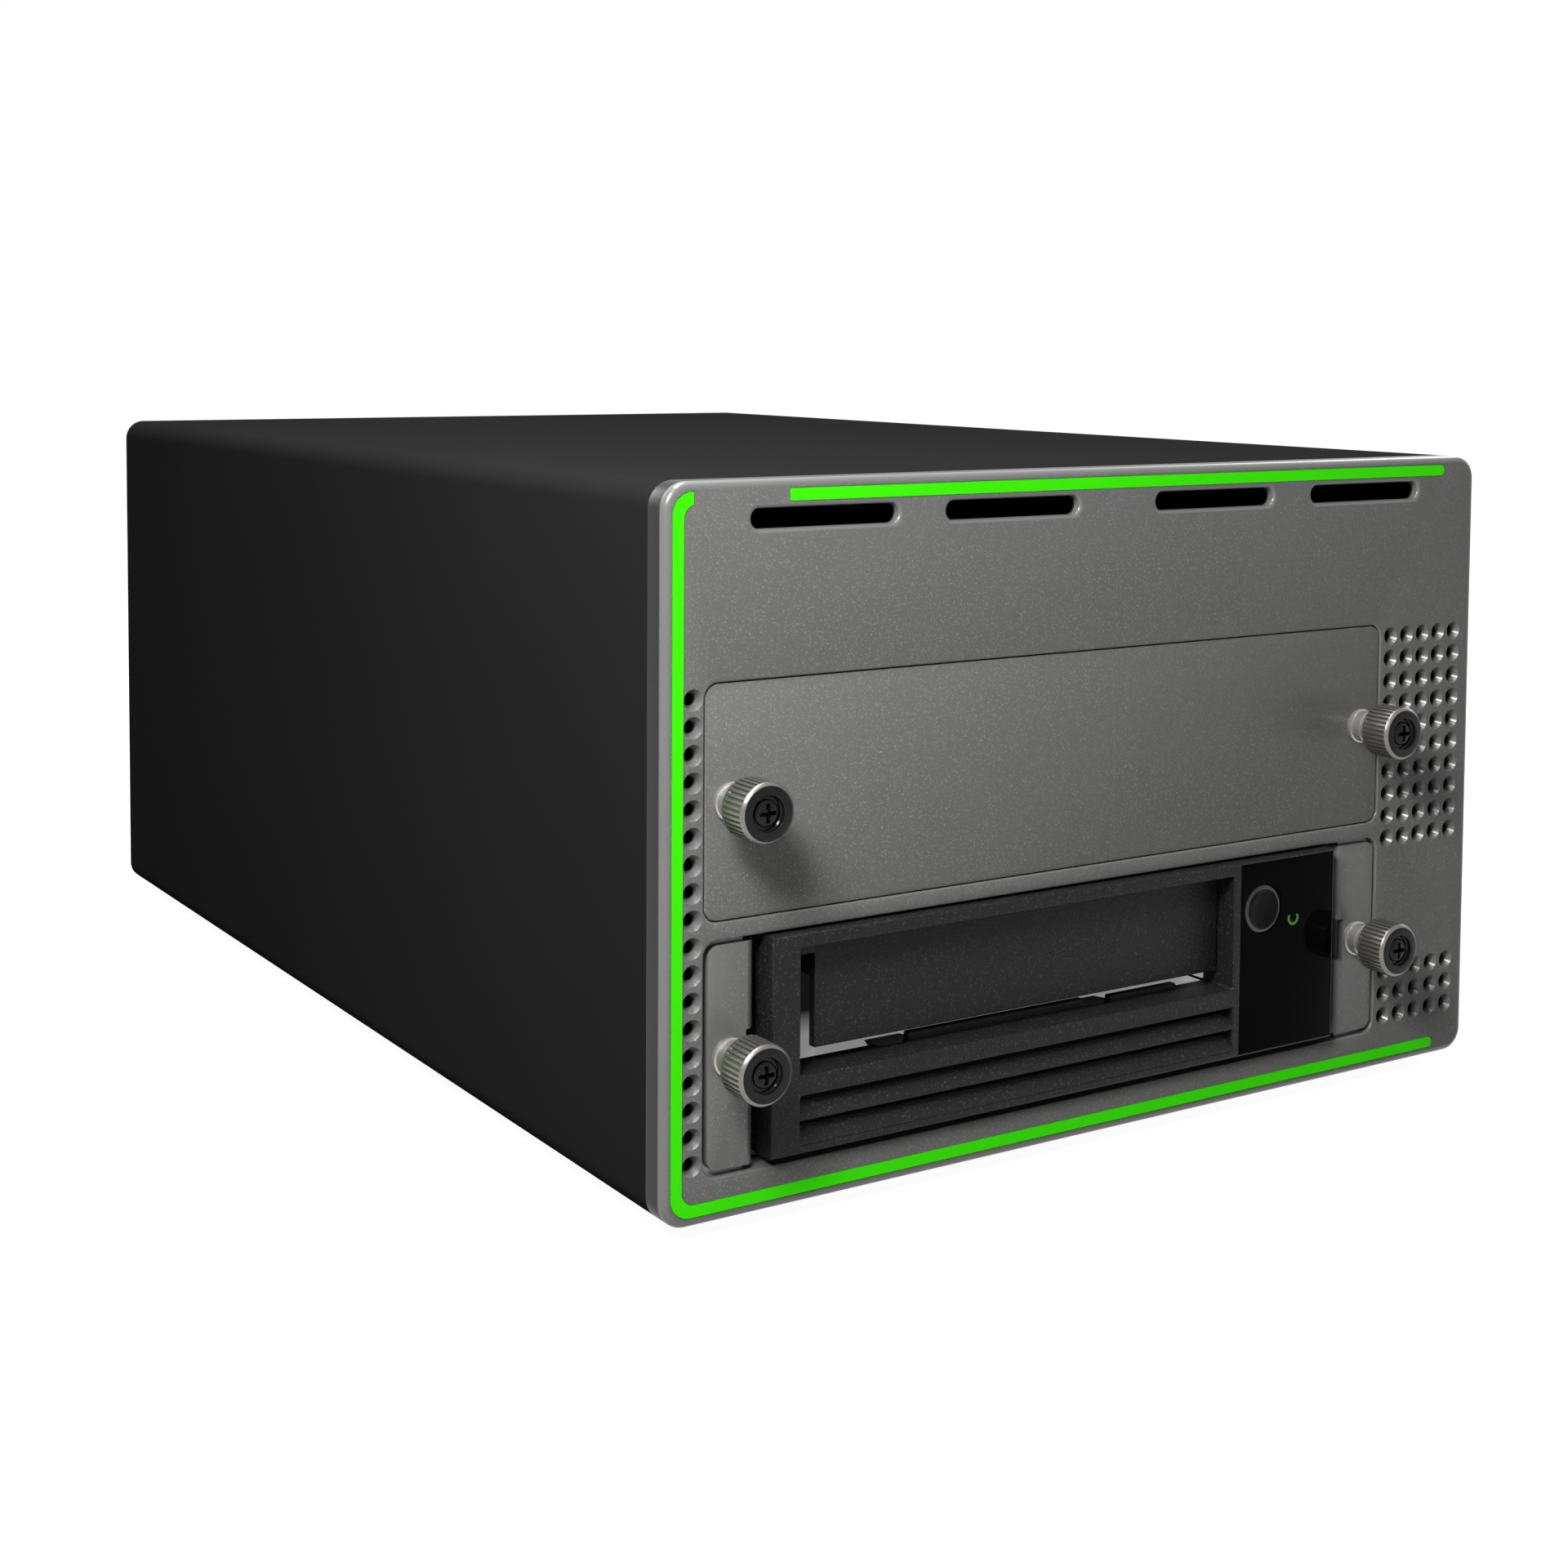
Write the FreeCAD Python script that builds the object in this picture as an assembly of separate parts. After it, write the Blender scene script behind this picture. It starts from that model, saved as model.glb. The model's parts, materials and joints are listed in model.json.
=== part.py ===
"""Desktop data tape drive: a two-bay enclosure with a half-height tape drive on a sliding tray.

Frame: +X right as seen from the front, +Y towards the back, +Z up. The origin is the bottom centre
of the whole object's box. Depths are counted in millimetres behind the front face.
"""
import FreeCAD, Part
import math
import os

V = FreeCAD.Vector

# ---------------------------------------------------------------- driving dimensions (mm)
BODY_W = 210.0            # enclosure width
BODY_H = 135.5            # enclosure height without feet
BODY_D = 318.0            # front face to the sleeve's rear end
FOOT_H = 3.0
CORNER_R = 5.0            # long edges of the enclosure
SLEEVE_T = 2.0
RIM_D = 6.0               # visible depth of the front bezel's rim
SEAM = 0.3                # gap between the rim and the sleeve
PLATE_T = 2.2             # front bezel plate
RIM_T = 3.0               # front bezel rim wall
EDGE_C = 0.9              # chamfer of the front bezel's outer edge
TONGUE_D = 6.0            # bezel tongues that locate inside the sleeve
TONGUE_GAP = 0.25
TONGUE_T = 0.9

# accent stripe let into the front face
STRIPE_W = 2.3
STRIPE_INSET = 1.8
STRIPE_DEPTH = 0.4
STRIPE_END_X = 95.1
STRIPE_GAP = (-98.9, -78.5)      # bare length of the top run

# vent slots and vent holes
SLOT_L = 32.7
SLOT_H = 3.8
SLOT_Z = 128.3                   # above the enclosure's bottom
SLOT_CENTRES = (-70.4, -26.5, 26.5, 70.4)
HOLE_PITCH = 5.0
HOLE_R = 1.75                    # across the flats
HOLE_SIDES = 8
VENT_PAD = 4.2                   # plate thickness where it carries round vents
HOLE_FIRST_Z = 11.3              # above the enclosure's bottom
HOLE_ROWS = 18
HOLE_LEFT_X = -98.9
HOLE_GRID_X = 89.1               # centre column of the right-hand grid
HOLE_GRID_COLUMNS = 5
HOLE_GRID_ROWS = (0, 1, 2, 8, 9, 10, 11, 12, 13, 14, 15, 16, 17)

# bays
BAY_W = 172.5
BAY_H = 43.8
BAY_X = -10.3                    # centre of both bays
BAY_LOW_Z = 8.2                  # lower bay's sill above the enclosure's bottom
BAY_PITCH = 47.1
BAY_R = 3.0

# sheet metal
SHEET = 1.2
CAGE_D = 222.0                   # depth of the cage's rear end
PAN_W = 198.0
PAN_FLANGE = 10.0
REAR_INSET = 2.0                 # rear panel's outer face inside the sleeve
REAR_T = 1.5
REAR_GAP = 0.3

# thumbscrews (M4, pitch 0.7)
SCREW_HALF = 80.5                # screw axes either side of the bay centre
KNOB_PROUD = 12.8
KNOB_L = 7.7
KNOB_R = 5.7
KNOB_SIDES = 24
DRIVER_SLOT = 1.2                # depth of the knob's cross slot
FERRULE_R = 3.7
FERRULE_PROUD = 4.2
SHANK_R = 1.95
THREAD_L = 4.6                   # length of the shank inside the nut
BORE_GAP = 0.07                  # radial running clearance of the shank
WASHER_R = 3.3
WASHER_T = 0.4
NUT_R = 3.5                      # across the flats
NUT_T = 5.0

# drive tray
TRAY_T = 1.5
TRAY_RECESS = 0.4                # tray flange behind the front face
TRAY_FLANGE_H = 41.4
TRAY_FLANGE_W = 10.0
TRAY_BEND_R = 2.2
TRAY_D = 205.0
TRAY_WALL_H = 26.0
TRAY_GAP = 0.4                   # tray wall to cage wall
TRAY_LIFT = 0.3                  # tray floor above the lower shelf
NOTCH_H = 9.0
NOTCH_D = 7.0

# half-height drive
DRIVE_W = 146.0
DRIVE_D = 208.0
DRIVE_H = 40.5
CASE_T = 2.0
LID_T = 0.8
BEZEL_PROUD = 2.1
BEZEL_H = 41.5
BEZEL_BACK = 7.0
SPACER_T = 3.4                   # packing between the drive's right side and the tray
MOUTH_X = (8.2, 116.7)           # cartridge mouth, from the drive's left side
MOUTH_Z = (14.7, 38.8)           # cartridge mouth, above the drive bezel's bottom
LIP_T = 1.0
HINGE_POCKET = 1.9
LOUVRE_Z = (1.7, 10.9)
LOUVRE_D = 2.0
LOUVRE_GAP = 1.5
PANEL_X = 118.5
PANEL_T = 1.2
PANEL_EDGE = 0.5
BUTTON_AT = (125.3, 30.8)
BUTTON_R = 5.2
BUTTON_GAP = 0.12
LIGHT_AT = (133.8, 27.9)
LIGHT_R = 1.6
LIGHT_W = 0.6
DOOR_T = 1.8
DOOR_RECESS = 4.6                # door face behind the drive bezel's face
DOOR_SIDE = 5.6                  # open notch beside the door's left edge
DOOR_TOP_H = 2.4
DOOR_GAP = 0.4
DOOR_BOTTOM = 3.3                # open slot under the door
BEZEL_SIDE_GAP = 1.9             # the drive bezel's face stops short of the tray's left bend
BEZEL_SIDE_D = 5.0
GUIDE_D = (5.2, 6.9)             # cartridge guide behind the mouth's lower edge
GUIDE_STEPS = ((29.8, 44.0, 1.7), (81.0, 18.0, 1.2))   # start after the mouth's left side, length, height
GUIDE_NOTCHES = ((22.8, 7.0), (73.8, 7.2))             # start after the mouth's left side, length
GUIDE_NOTCH_D = 1.8
LINER_T = 0.5                    # bright guide sheet at the mouth's right end
LINER_D = (7.1, 12.8)
PIN_R = 0.5
BARREL_R = 1.2

# tape mechanism
CARTRIDGE = (105.4, 102.0, 21.5)
BUCKET_T = 0.8
BUCKET_D0 = 7.6
BUCKET_L = 106.0
LOAD_STROKE = 12.0
LOAD_DROP = 4.0
DECK_T = 1.5
DECK_Z = 4.3                     # deck underside above the case bottom
HUB_AT = (62.5, 58.0)
HUB_R = 9.5
REEL_AT = (60.0, 163.0)
REEL_R = 32.0
ROLLERS_AT = ((128.0, 128.0), (128.0, 176.0))
ROLLER_R = 4.5
HEAD_AT = (122.0, 152.0)
HEAD_TRAVEL = 3.0

# rear compartment
FAN_SIZE = 80.0
FAN_T = 25.0
FAN_AT = (48.0, 70.0)
FAN_BORE_R = 38.0
FAN_HUB_R = 17.5
FAN_BLADE_R = 36.6
FAN_BLADES = 7
INLET_AT = (-70.0, 62.0)
ROCKER_AT = (-34.0, 62.0)
ROCKER_TILT = 8.0
ROCKER_HALF = 8.0
ROCKER_RISE = 7.2                # rocker's tips above its pivot
ROCKER_SUNK = 3.0                # pivot behind the rear panel's face
BOARD_Z = 96.0

# ---------------------------------------------------------------- derived places
ROCKER_SIN, ROCKER_COS = math.sin(math.radians(ROCKER_TILT)), math.cos(math.radians(ROCKER_TILT))
ROCKER_REACH = ROCKER_RISE * ROCKER_COS + ROCKER_HALF * ROCKER_SIN
REAR_PROUD = ROCKER_REACH - ROCKER_SUNK - REAR_INSET
FRONT_Y = KNOB_PROUD - (KNOB_PROUD + BODY_D + REAR_PROUD) / 2.0
Z0 = FOOT_H
BAY_X0, BAY_X1 = BAY_X - BAY_W / 2.0, BAY_X + BAY_W / 2.0
BAY_LOW = (Z0 + BAY_LOW_Z, Z0 + BAY_LOW_Z + BAY_H)
BAY_UP = (BAY_LOW[0] + BAY_PITCH, BAY_LOW[1] + BAY_PITCH)
SCREW_Z = {"l": sum(BAY_LOW) / 2.0, "u": sum(BAY_UP) / 2.0}
SCREW_X = {"l": BAY_X - SCREW_HALF, "r": BAY_X + SCREW_HALF}
PAN_TOP = Z0 + SLEEVE_T + SHEET
DRIVE_X0 = BAY_X - (DRIVE_W + SPACER_T) / 2.0
DRIVE_X1 = DRIVE_X0 + DRIVE_W
WALL_IN = (DRIVE_X0, DRIVE_X1 + SPACER_T)              # tray wall faces towards the drive
WALL_OUT = (WALL_IN[0] - TRAY_T, WALL_IN[1] + TRAY_T)
CAGE_IN = (WALL_OUT[0] - TRAY_GAP, WALL_OUT[1] + TRAY_GAP)
SHELF_TOP = BAY_LOW[0]
TRAY_BOTTOM = SHELF_TOP + TRAY_LIFT
DRIVE_Z0 = TRAY_BOTTOM + SHEET
BEZEL_Z0 = DRIVE_Z0 + 0.3
REAR_OUT = BODY_D - REAR_INSET
REAR_IN = REAR_OUT - REAR_T
FERRULE_D = -FERRULE_PROUD
KNOB_BASE = -KNOB_PROUD + KNOB_L
NUT_FACE = PLATE_T + SHEET
SHANK_END = NUT_FACE + THREAD_L + 0.1
MOUTH = (DRIVE_X0 + MOUTH_X[0], DRIVE_X0 + MOUTH_X[1], BEZEL_Z0 + MOUTH_Z[0], BEZEL_Z0 + MOUTH_Z[1])
DOOR_FRONT = -BEZEL_PROUD + DOOR_RECESS
PIN_AT = (DOOR_FRONT + DOOR_T - 0.1, MOUTH[3] - 0.3)    # depth and height of the door's hinge pin
DECK_TOP = DRIVE_Z0 + DECK_Z + DECK_T
BUCKET_Z = MOUTH[2] - 0.1                              # top of the bucket's floor
CAM_AT = (BUCKET_D0 + 24.0, BUCKET_D0 + BUCKET_L - 24.0)


# ---------------------------------------------------------------- shape helpers
def y_at(depth):
    """World Y of a depth behind the front face."""
    return FRONT_Y + depth


def block(x0, x1, d0, d1, z0, z1):
    """A box between two X, two depths and two heights."""
    return Part.makeBox(x1 - x0, d1 - d0, z1 - z0, V(x0, y_at(d0), z0))


def rounded_wire(x0, x1, z0, z1, r, depth):
    """A rounded rectangle in a plane of constant depth."""
    y = y_at(depth)
    if r <= 0:
        pts = [V(x0, y, z0), V(x1, y, z0), V(x1, y, z1), V(x0, y, z1), V(x0, y, z0)]
        return Part.makePolygon(pts)
    k = r * (1 - math.sqrt(0.5))
    corners = ((x1, z0, -1, 1), (x1, z1, -1, -1), (x0, z1, 1, -1), (x0, z0, 1, 1))
    edges, last = [], None
    first = None
    for i, (cx, cz, sx, sz) in enumerate(corners):
        a, b = V(cx + sx * r, y, cz), V(cx, y, cz + sz * r)
        if i % 2:
            a, b = b, a
        mid = V(cx + sx * k, y, cz + sz * k)
        if last is not None and (last - a).Length > 1e-6:
            edges.append(Part.makeLine(last, a))
        edges.append(Part.Arc(a, mid, b).toShape())
        first = first or a
        last = b
    if (last - first).Length > 1e-6:
        edges.append(Part.makeLine(last, first))
    return Part.Wire(edges)


def prism(x0, x1, z0, z1, r, d0, d1):
    """A rounded rectangle run from one depth to another."""
    face = Part.Face(rounded_wire(x0, x1, z0, z1, r, d0))
    return face.extrude(V(0, d1 - d0, 0))


def ngon_y(x, z, r, d0, d1, sides=8):
    """A many-sided bar along Y, r across its flats."""
    far = r / math.cos(math.pi / sides)
    turns = [2 * math.pi * (k + 0.5) / sides for k in range(sides)]
    pts = [V(x + far * math.cos(a), y_at(d0), z + far * math.sin(a)) for a in turns]
    return Part.Face(Part.makePolygon(pts + [pts[0]])).extrude(V(0, d1 - d0, 0))


def ngon_z(x, depth, r, z0, z1, sides=6):
    """A many-sided bar along Z, r across its flats."""
    far = r / math.cos(math.pi / sides)
    turns = [2 * math.pi * (k + 0.5) / sides for k in range(sides)]
    return plan_prism([(x + far * math.cos(a), depth + far * math.sin(a)) for a in turns], z0, z1)


def rod_y(x, z, r, d0, d1):
    """A cylinder along Y."""
    return Part.makeCylinder(r, d1 - d0, V(x, y_at(d0), z), V(0, 1, 0))


def rod_z(x, depth, r, z0, z1):
    """A cylinder along Z."""
    return Part.makeCylinder(r, z1 - z0, V(x, y_at(depth), z0), V(0, 0, 1))


def rod_x(depth, z, r, x0, x1):
    """A cylinder along X."""
    return Part.makeCylinder(r, x1 - x0, V(x0, y_at(depth), z), V(1, 0, 0))


def plan_prism(points, z0, z1):
    """A prism up Z from (x, depth) points."""
    pts = [V(x, y_at(d), z0) for x, d in points]
    return Part.Face(Part.makePolygon(pts + [pts[0]])).extrude(V(0, 0, z1 - z0))


def side_prism(points, x0, x1):
    """A prism along X from (depth, z) points."""
    pts = [V(x0, y_at(d), z) for d, z in points]
    return Part.Face(Part.makePolygon(pts + [pts[0]])).extrude(V(x1 - x0, 0, 0))


def octagon(depth, z, r):
    """(depth, z) corners of a regular octagon, r across its flats."""
    far = r / math.cos(math.pi / 8)
    turns = [2 * math.pi * (k + 0.5) / 8 for k in range(8)]
    return [(depth + far * math.cos(a), z + far * math.sin(a)) for a in turns]


# ---------------------------------------------------------------- enclosure
def shell_prism(inset, r, d0, d1):
    """The enclosure's rounded outline, drawn in by an inset."""
    half = BODY_W / 2.0 - inset
    return prism(-half, half, Z0 + inset, Z0 + BODY_H - inset, r, d0, d1)


def stripe_profile(depth):
    """Both lengths of the accent stripe, as solids behind the front face."""
    half, low, high = BODY_W / 2.0 - STRIPE_INSET, Z0 + STRIPE_INSET, Z0 + BODY_H - STRIPE_INSET
    r = CORNER_R - STRIPE_INSET / 2.0
    outer = prism(-half, half, low, high, r, 0, depth)
    inner = prism(-half + STRIPE_W, half - STRIPE_W, low + STRIPE_W, high - STRIPE_W,
                  r - STRIPE_W / 2.0, 0, depth)
    ring = outer.cut(inner)
    left = block(-half - 1, STRIPE_GAP[0], -1, depth + 1, low - 1, high + 1)
    bottom = block(-half - 1, STRIPE_END_X, -1, depth + 1, low, low + STRIPE_W)
    top = block(STRIPE_GAP[1], STRIPE_END_X, 0, depth, high - STRIPE_W, high)
    return [ring.common(left.fuse(bottom)), top]


def vent_heights():
    """Heights of the vent rows, lowest first."""
    return [Z0 + HOLE_FIRST_Z + HOLE_PITCH * k for k in range(HOLE_ROWS)]


def vent_holes():
    """Every round vent, as a many-sided cutter through the plate and its pads."""
    zs = vent_heights()
    spots = [(HOLE_LEFT_X, z) for z in zs]
    middle = (HOLE_GRID_COLUMNS - 1) / 2.0
    for column in range(HOLE_GRID_COLUMNS):
        x = HOLE_GRID_X + (column - middle) * HOLE_PITCH
        spots += [(x, zs[row]) for row in HOLE_GRID_ROWS]
    return [ngon_y(x, z, HOLE_R, -1, VENT_PAD + 1, HOLE_SIDES) for x, z in spots]


def front_bezel():
    half, low, high = BODY_W / 2.0, Z0, Z0 + BODY_H
    lead = Part.makeLoft([rounded_wire(-half + EDGE_C, half - EDGE_C, low + EDGE_C, high - EDGE_C,
                                       CORNER_R - EDGE_C, 0),
                          rounded_wire(-half, half, low, high, CORNER_R, EDGE_C)], True, True)
    body = lead.fuse(shell_prism(0, CORNER_R, EDGE_C, RIM_D)).removeSplitter()
    body = body.cut(shell_prism(RIM_T, 0, PLATE_T, RIM_D + 1))
    gap = SLEEVE_T + TONGUE_GAP
    long, tall = BODY_W / 2.0 - 12.0, BODY_H / 2.0 - 12.0
    mid = Z0 + BODY_H / 2.0
    t = TONGUE_T
    tongues = [block(-long, long, RIM_D - 1, RIM_D + TONGUE_D, z, z + t)
               for z in (Z0 + gap, Z0 + BODY_H - gap - t)]
    tongues += [block(x, x + t, RIM_D - 1, RIM_D + TONGUE_D, mid - tall, mid + tall)
                for x in (-half + gap, half - gap - t)]
    body = body.fuse(tongues)
    edge, low_z, high_z = half - RIM_T, vent_heights()[0] - HOLE_PITCH, vent_heights()[-1] + HOLE_PITCH
    pads = [block(-edge - 1, BAY_X0 - 1.5, PLATE_T - 1, VENT_PAD, low_z, high_z),
            block(BAY_X1 + 1.5, edge + 1, PLATE_T - 1, VENT_PAD, low_z, high_z)]
    body = body.fuse(pads)
    cutters = [prism(BAY_X0, BAY_X1, z0, z1, BAY_R, -1, PLATE_T + 1) for z0, z1 in (BAY_LOW, BAY_UP)]
    z = Z0 + SLOT_Z
    for x in SLOT_CENTRES:
        cutters.append(prism(x - SLOT_L / 2.0, x + SLOT_L / 2.0, z - SLOT_H / 2.0, z + SLOT_H / 2.0,
                             SLOT_H / 2.0 - 0.01, -1, PLATE_T + 1))
    return body.cut(cutters + stripe_profile(STRIPE_DEPTH)).cut(vent_holes())


def accent_stripe():
    return Part.makeCompound(stripe_profile(STRIPE_DEPTH))


def sleeve():
    outer = shell_prism(0, CORNER_R, RIM_D + SEAM, BODY_D)
    return outer.cut(shell_prism(SLEEVE_T, CORNER_R - SLEEVE_T, 0, BODY_D + 1))


def base_pan():
    half, low = PAN_W / 2.0, Z0 + SLEEVE_T
    d0 = RIM_D + TONGUE_D + 2.0
    pan = block(-half, half, d0, REAR_IN, low, low + PAN_FLANGE)
    return pan.cut(block(-half + SHEET, half - SHEET, d0 - 1, REAR_IN + 1, PAN_TOP, low + PAN_FLANGE + 1))


def feet():
    x, r = BODY_W / 2.0 - 19.0, 8.0
    return Part.makeCompound([ngon_z(sx * x, d, r, 0, FOOT_H, 16)
                              for sx in (-1, 1) for d in (25.0, BODY_D - 28.0)])


def cage_sides():
    """Two side walls with front flanges that carry the thumbscrew nuts."""
    top = BAY_UP[1] + SHEET
    solids = []
    for side, inner, edge in ((-1, CAGE_IN[0], BAY_X0 - 1.0), (1, CAGE_IN[1], BAY_X1 + 1.0)):
        outer = inner + side * SHEET
        x0, x1 = min(inner, outer), max(inner, outer)
        wall = block(x0, x1, PLATE_T, CAGE_D, PAN_TOP, top)
        flange = block(min(outer, edge), max(outer, edge), PLATE_T, PLATE_T + SHEET, BAY_LOW[0] - 3.0, top)
        x = SCREW_X["l" if side < 0 else "r"]
        holes = [ngon_y(x, z, SHANK_R + 0.4, 0, PLATE_T + 3) for z in SCREW_Z.values()]
        vents = [block(x0 - 1, x1 + 1, d, d + 26.0, z - 12.0, z + 12.0)
                 for d in (40.0, 84.0, 128.0, 172.0) for z in SCREW_Z.values()]
        windows = [block(x0 - 1, x1 + 1, NUT_FACE, NUT_FACE + NUT_T + 1, z - 5, z + 5)
                   for z in SCREW_Z.values()]
        solids.append(wall.fuse(flange).cut(holes + vents + windows))
    return Part.makeCompound(solids)


def bay_shelves():
    """Lower, middle and upper shelf between the cage's side walls."""
    solids = []
    for top in (SHELF_TOP, (BAY_LOW[1] + BAY_UP[0]) / 2.0 + SHEET / 2.0, BAY_UP[1] + SHEET):
        solids.append(block(CAGE_IN[0], CAGE_IN[1], PLATE_T, CAGE_D, top - SHEET, top))
    return Part.makeCompound(solids)


def thumb_nuts():
    """Hexagonal nuts fixed behind the cage's flanges."""
    solids = []
    for x in SCREW_X.values():
        for z in SCREW_Z.values():
            nut = ngon_y(x, z, NUT_R, NUT_FACE, NUT_FACE + NUT_T, 6)
            bore = ngon_y(x, z, SHANK_R + BORE_GAP, NUT_FACE - 1, NUT_FACE + NUT_T + 1, 12)
            solids.append(nut.cut(bore))
    return Part.makeCompound(solids)


# ---------------------------------------------------------------- thumbscrews
def ferrule(x, z, plate_front):
    """Bright spacer fixed on a front plate, through which the screw's shank passes."""
    bore = ngon_y(x, z, SHANK_R + BORE_GAP, FERRULE_D - 1, plate_front + 1)
    side = math.cos(math.pi / KNOB_SIDES)
    return ngon_y(x, z, FERRULE_R * side, FERRULE_D, plate_front, KNOB_SIDES).cut(bore)


def thumb_washer(x, z):
    d0 = FERRULE_D - 0.3 - WASHER_T
    ring = ngon_y(x, z, WASHER_R, d0, d0 + WASHER_T, 12)
    return ring.cut(ngon_y(x, z, SHANK_R + BORE_GAP, d0 - 1, d0 + 1, 12))


def thumbscrew(x, z):
    """Knob and shank in one, with a cross slot for a driver in the knob's face."""
    knob = ngon_y(x, z, KNOB_R * math.cos(math.pi / KNOB_SIDES), -KNOB_PROUD, KNOB_BASE, KNOB_SIDES)
    shank = rod_y(x, z, SHANK_R, KNOB_BASE - 0.5, SHANK_END)
    arms = [block(x - a, x + a, -KNOB_PROUD - 1, -KNOB_PROUD + DRIVER_SLOT, z - b, z + b)
            for a, b in ((2.0, 0.5), (0.5, 2.0))]
    return knob.fuse(shank).cut(arms)


# ---------------------------------------------------------------- blank cover
def blank_cover():
    gap, front, back = DOOR_GAP, 0.3, 0.3 + TRAY_T
    z0, z1 = BAY_UP[0] + gap, BAY_UP[1] - gap
    plate = prism(BAY_X0 + gap, BAY_X1 - gap, z0, z1, BAY_R - gap, front, back)
    lips = [block(CAGE_IN[0] + 2, CAGE_IN[1] - 2, back, back + 8.0, z, z + SHEET)
            for z in (z0 + 0.8, z1 - 0.8 - SHEET)]
    holes = [ngon_y(x, SCREW_Z["u"], SHANK_R + 0.3, 0, back + 1) for x in SCREW_X.values()]
    return plate.fuse(lips).cut(holes)


def blank_ferrules():
    return Part.makeCompound([ferrule(x, SCREW_Z["u"], 0.3) for x in SCREW_X.values()])


# ---------------------------------------------------------------- drive tray
def tray_side(side):
    """Front flange, rounded bend and the first part of one tray wall, as one bent strip."""
    inner = WALL_IN[0] if side < 0 else WALL_IN[1]
    sx = side
    f0, f1 = TRAY_RECESS, TRAY_RECESS + TRAY_T
    flat = inner + sx * TRAY_BEND_R
    tip = (BAY_X0 + 1.35) if side < 0 else (BAY_X1 - 0.6)
    z0 = SCREW_Z["l"] - TRAY_FLANGE_H / 2.0
    k = TRAY_BEND_R * (1 - math.sqrt(0.5))
    r_in = TRAY_BEND_R - TRAY_T
    k_in = r_in * (1 - math.sqrt(0.5))
    y = lambda d: y_at(d)
    edges = [
        Part.makeLine(V(tip, y(f0), z0), V(flat, y(f0), z0)),
        Part.Arc(V(flat, y(f0), z0), V(inner + sx * k, y(f0 + k), z0),
                 V(inner, y(f0 + TRAY_BEND_R), z0)).toShape(),
        Part.makeLine(V(inner, y(f0 + TRAY_BEND_R), z0), V(inner, y(20.0), z0)),
        Part.makeLine(V(inner, y(20.0), z0), V(inner + sx * TRAY_T, y(20.0), z0)),
        Part.makeLine(V(inner + sx * TRAY_T, y(20.0), z0), V(inner + sx * TRAY_T, y(f1 + r_in), z0)),
        Part.Arc(V(inner + sx * TRAY_T, y(f1 + r_in), z0),
                 V(inner + sx * (TRAY_T + k_in), y(f1 + k_in), z0), V(flat, y(f1), z0)).toShape(),
        Part.makeLine(V(flat, y(f1), z0), V(tip, y(f1), z0)),
        Part.makeLine(V(tip, y(f1), z0), V(tip, y(f0), z0)),
    ]
    strip = Part.Face(Part.Wire(edges)).extrude(V(0, 0, TRAY_FLANGE_H))
    tips = [e for e in strip.Edges if abs(e.Length - TRAY_T) < 1e-6
            and all(abs(v.X - tip) < 1e-6 for v in e.Vertexes)]
    strip = strip.makeFillet(1.4, tips)
    x = SCREW_X["l" if side < 0 else "r"]
    notch = block(min(inner - sx, flat), max(inner - sx, flat), -1, NOTCH_D,
                  SCREW_Z["l"] - NOTCH_H / 2.0, SCREW_Z["l"] + NOTCH_H / 2.0)
    strip = strip.cut([notch, ngon_y(x, SCREW_Z["l"], SHANK_R + 0.3, -1, 5)])
    wall = block(min(inner, inner + sx * TRAY_T), max(inner, inner + sx * TRAY_T), 20.0, TRAY_D,
                 TRAY_BOTTOM, TRAY_BOTTOM + TRAY_WALL_H)
    foot = block(min(inner, inner + sx * TRAY_T), max(inner, inner + sx * TRAY_T), 6.0, 20.0,
                 TRAY_BOTTOM, z0)
    return strip.fuse([wall, foot])


def tray_pan():
    floor = block(WALL_IN[0], WALL_IN[1], 6.0, TRAY_D, TRAY_BOTTOM, TRAY_BOTTOM + SHEET)
    windows = [block(WALL_IN[0] + 18, WALL_IN[1] - 18, d, d + 40.0, TRAY_BOTTOM - 1, TRAY_BOTTOM + 2)
               for d in (30.0, 90.0, 150.0)]
    return floor.cut(windows).fuse([tray_side(-1), tray_side(1)]).removeSplitter()


def tray_ferrules():
    return Part.makeCompound([ferrule(x, SCREW_Z["l"], TRAY_RECESS) for x in SCREW_X.values()])


def drive_spacers():
    return Part.makeCompound([block(DRIVE_X1, DRIVE_X1 + SPACER_T, d, d + 32.0, DRIVE_Z0 + 5, DRIVE_Z0 + 15)
                              for d in (30.0, 140.0)])


# ---------------------------------------------------------------- drive housing
def drive_case():
    """Cast tub of the drive: floor, side walls and rear wall, open at the front and top."""
    z1 = DRIVE_Z0 + DRIVE_H
    tub = block(DRIVE_X0, DRIVE_X1, BEZEL_BACK, DRIVE_D, DRIVE_Z0, z1)
    room = block(DRIVE_X0 + CASE_T, DRIVE_X1 - CASE_T, BEZEL_BACK - 1, DRIVE_D - CASE_T,
                 DRIVE_Z0 + CASE_T, z1 + 1)
    plug = block(DRIVE_X0 + 52, DRIVE_X0 + 96, DRIVE_D - CASE_T - 1, DRIVE_D + 1, DRIVE_Z0 + 6, DRIVE_Z0 + 16)
    vents = [block(DRIVE_X0 + x, DRIVE_X0 + x + 3.0, DRIVE_D - CASE_T - 1, DRIVE_D + 1, DRIVE_Z0 + 22,
                   DRIVE_Z0 + 36) for x in range(14, 134, 8)]
    return tub.cut([room, plug] + vents)


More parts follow.
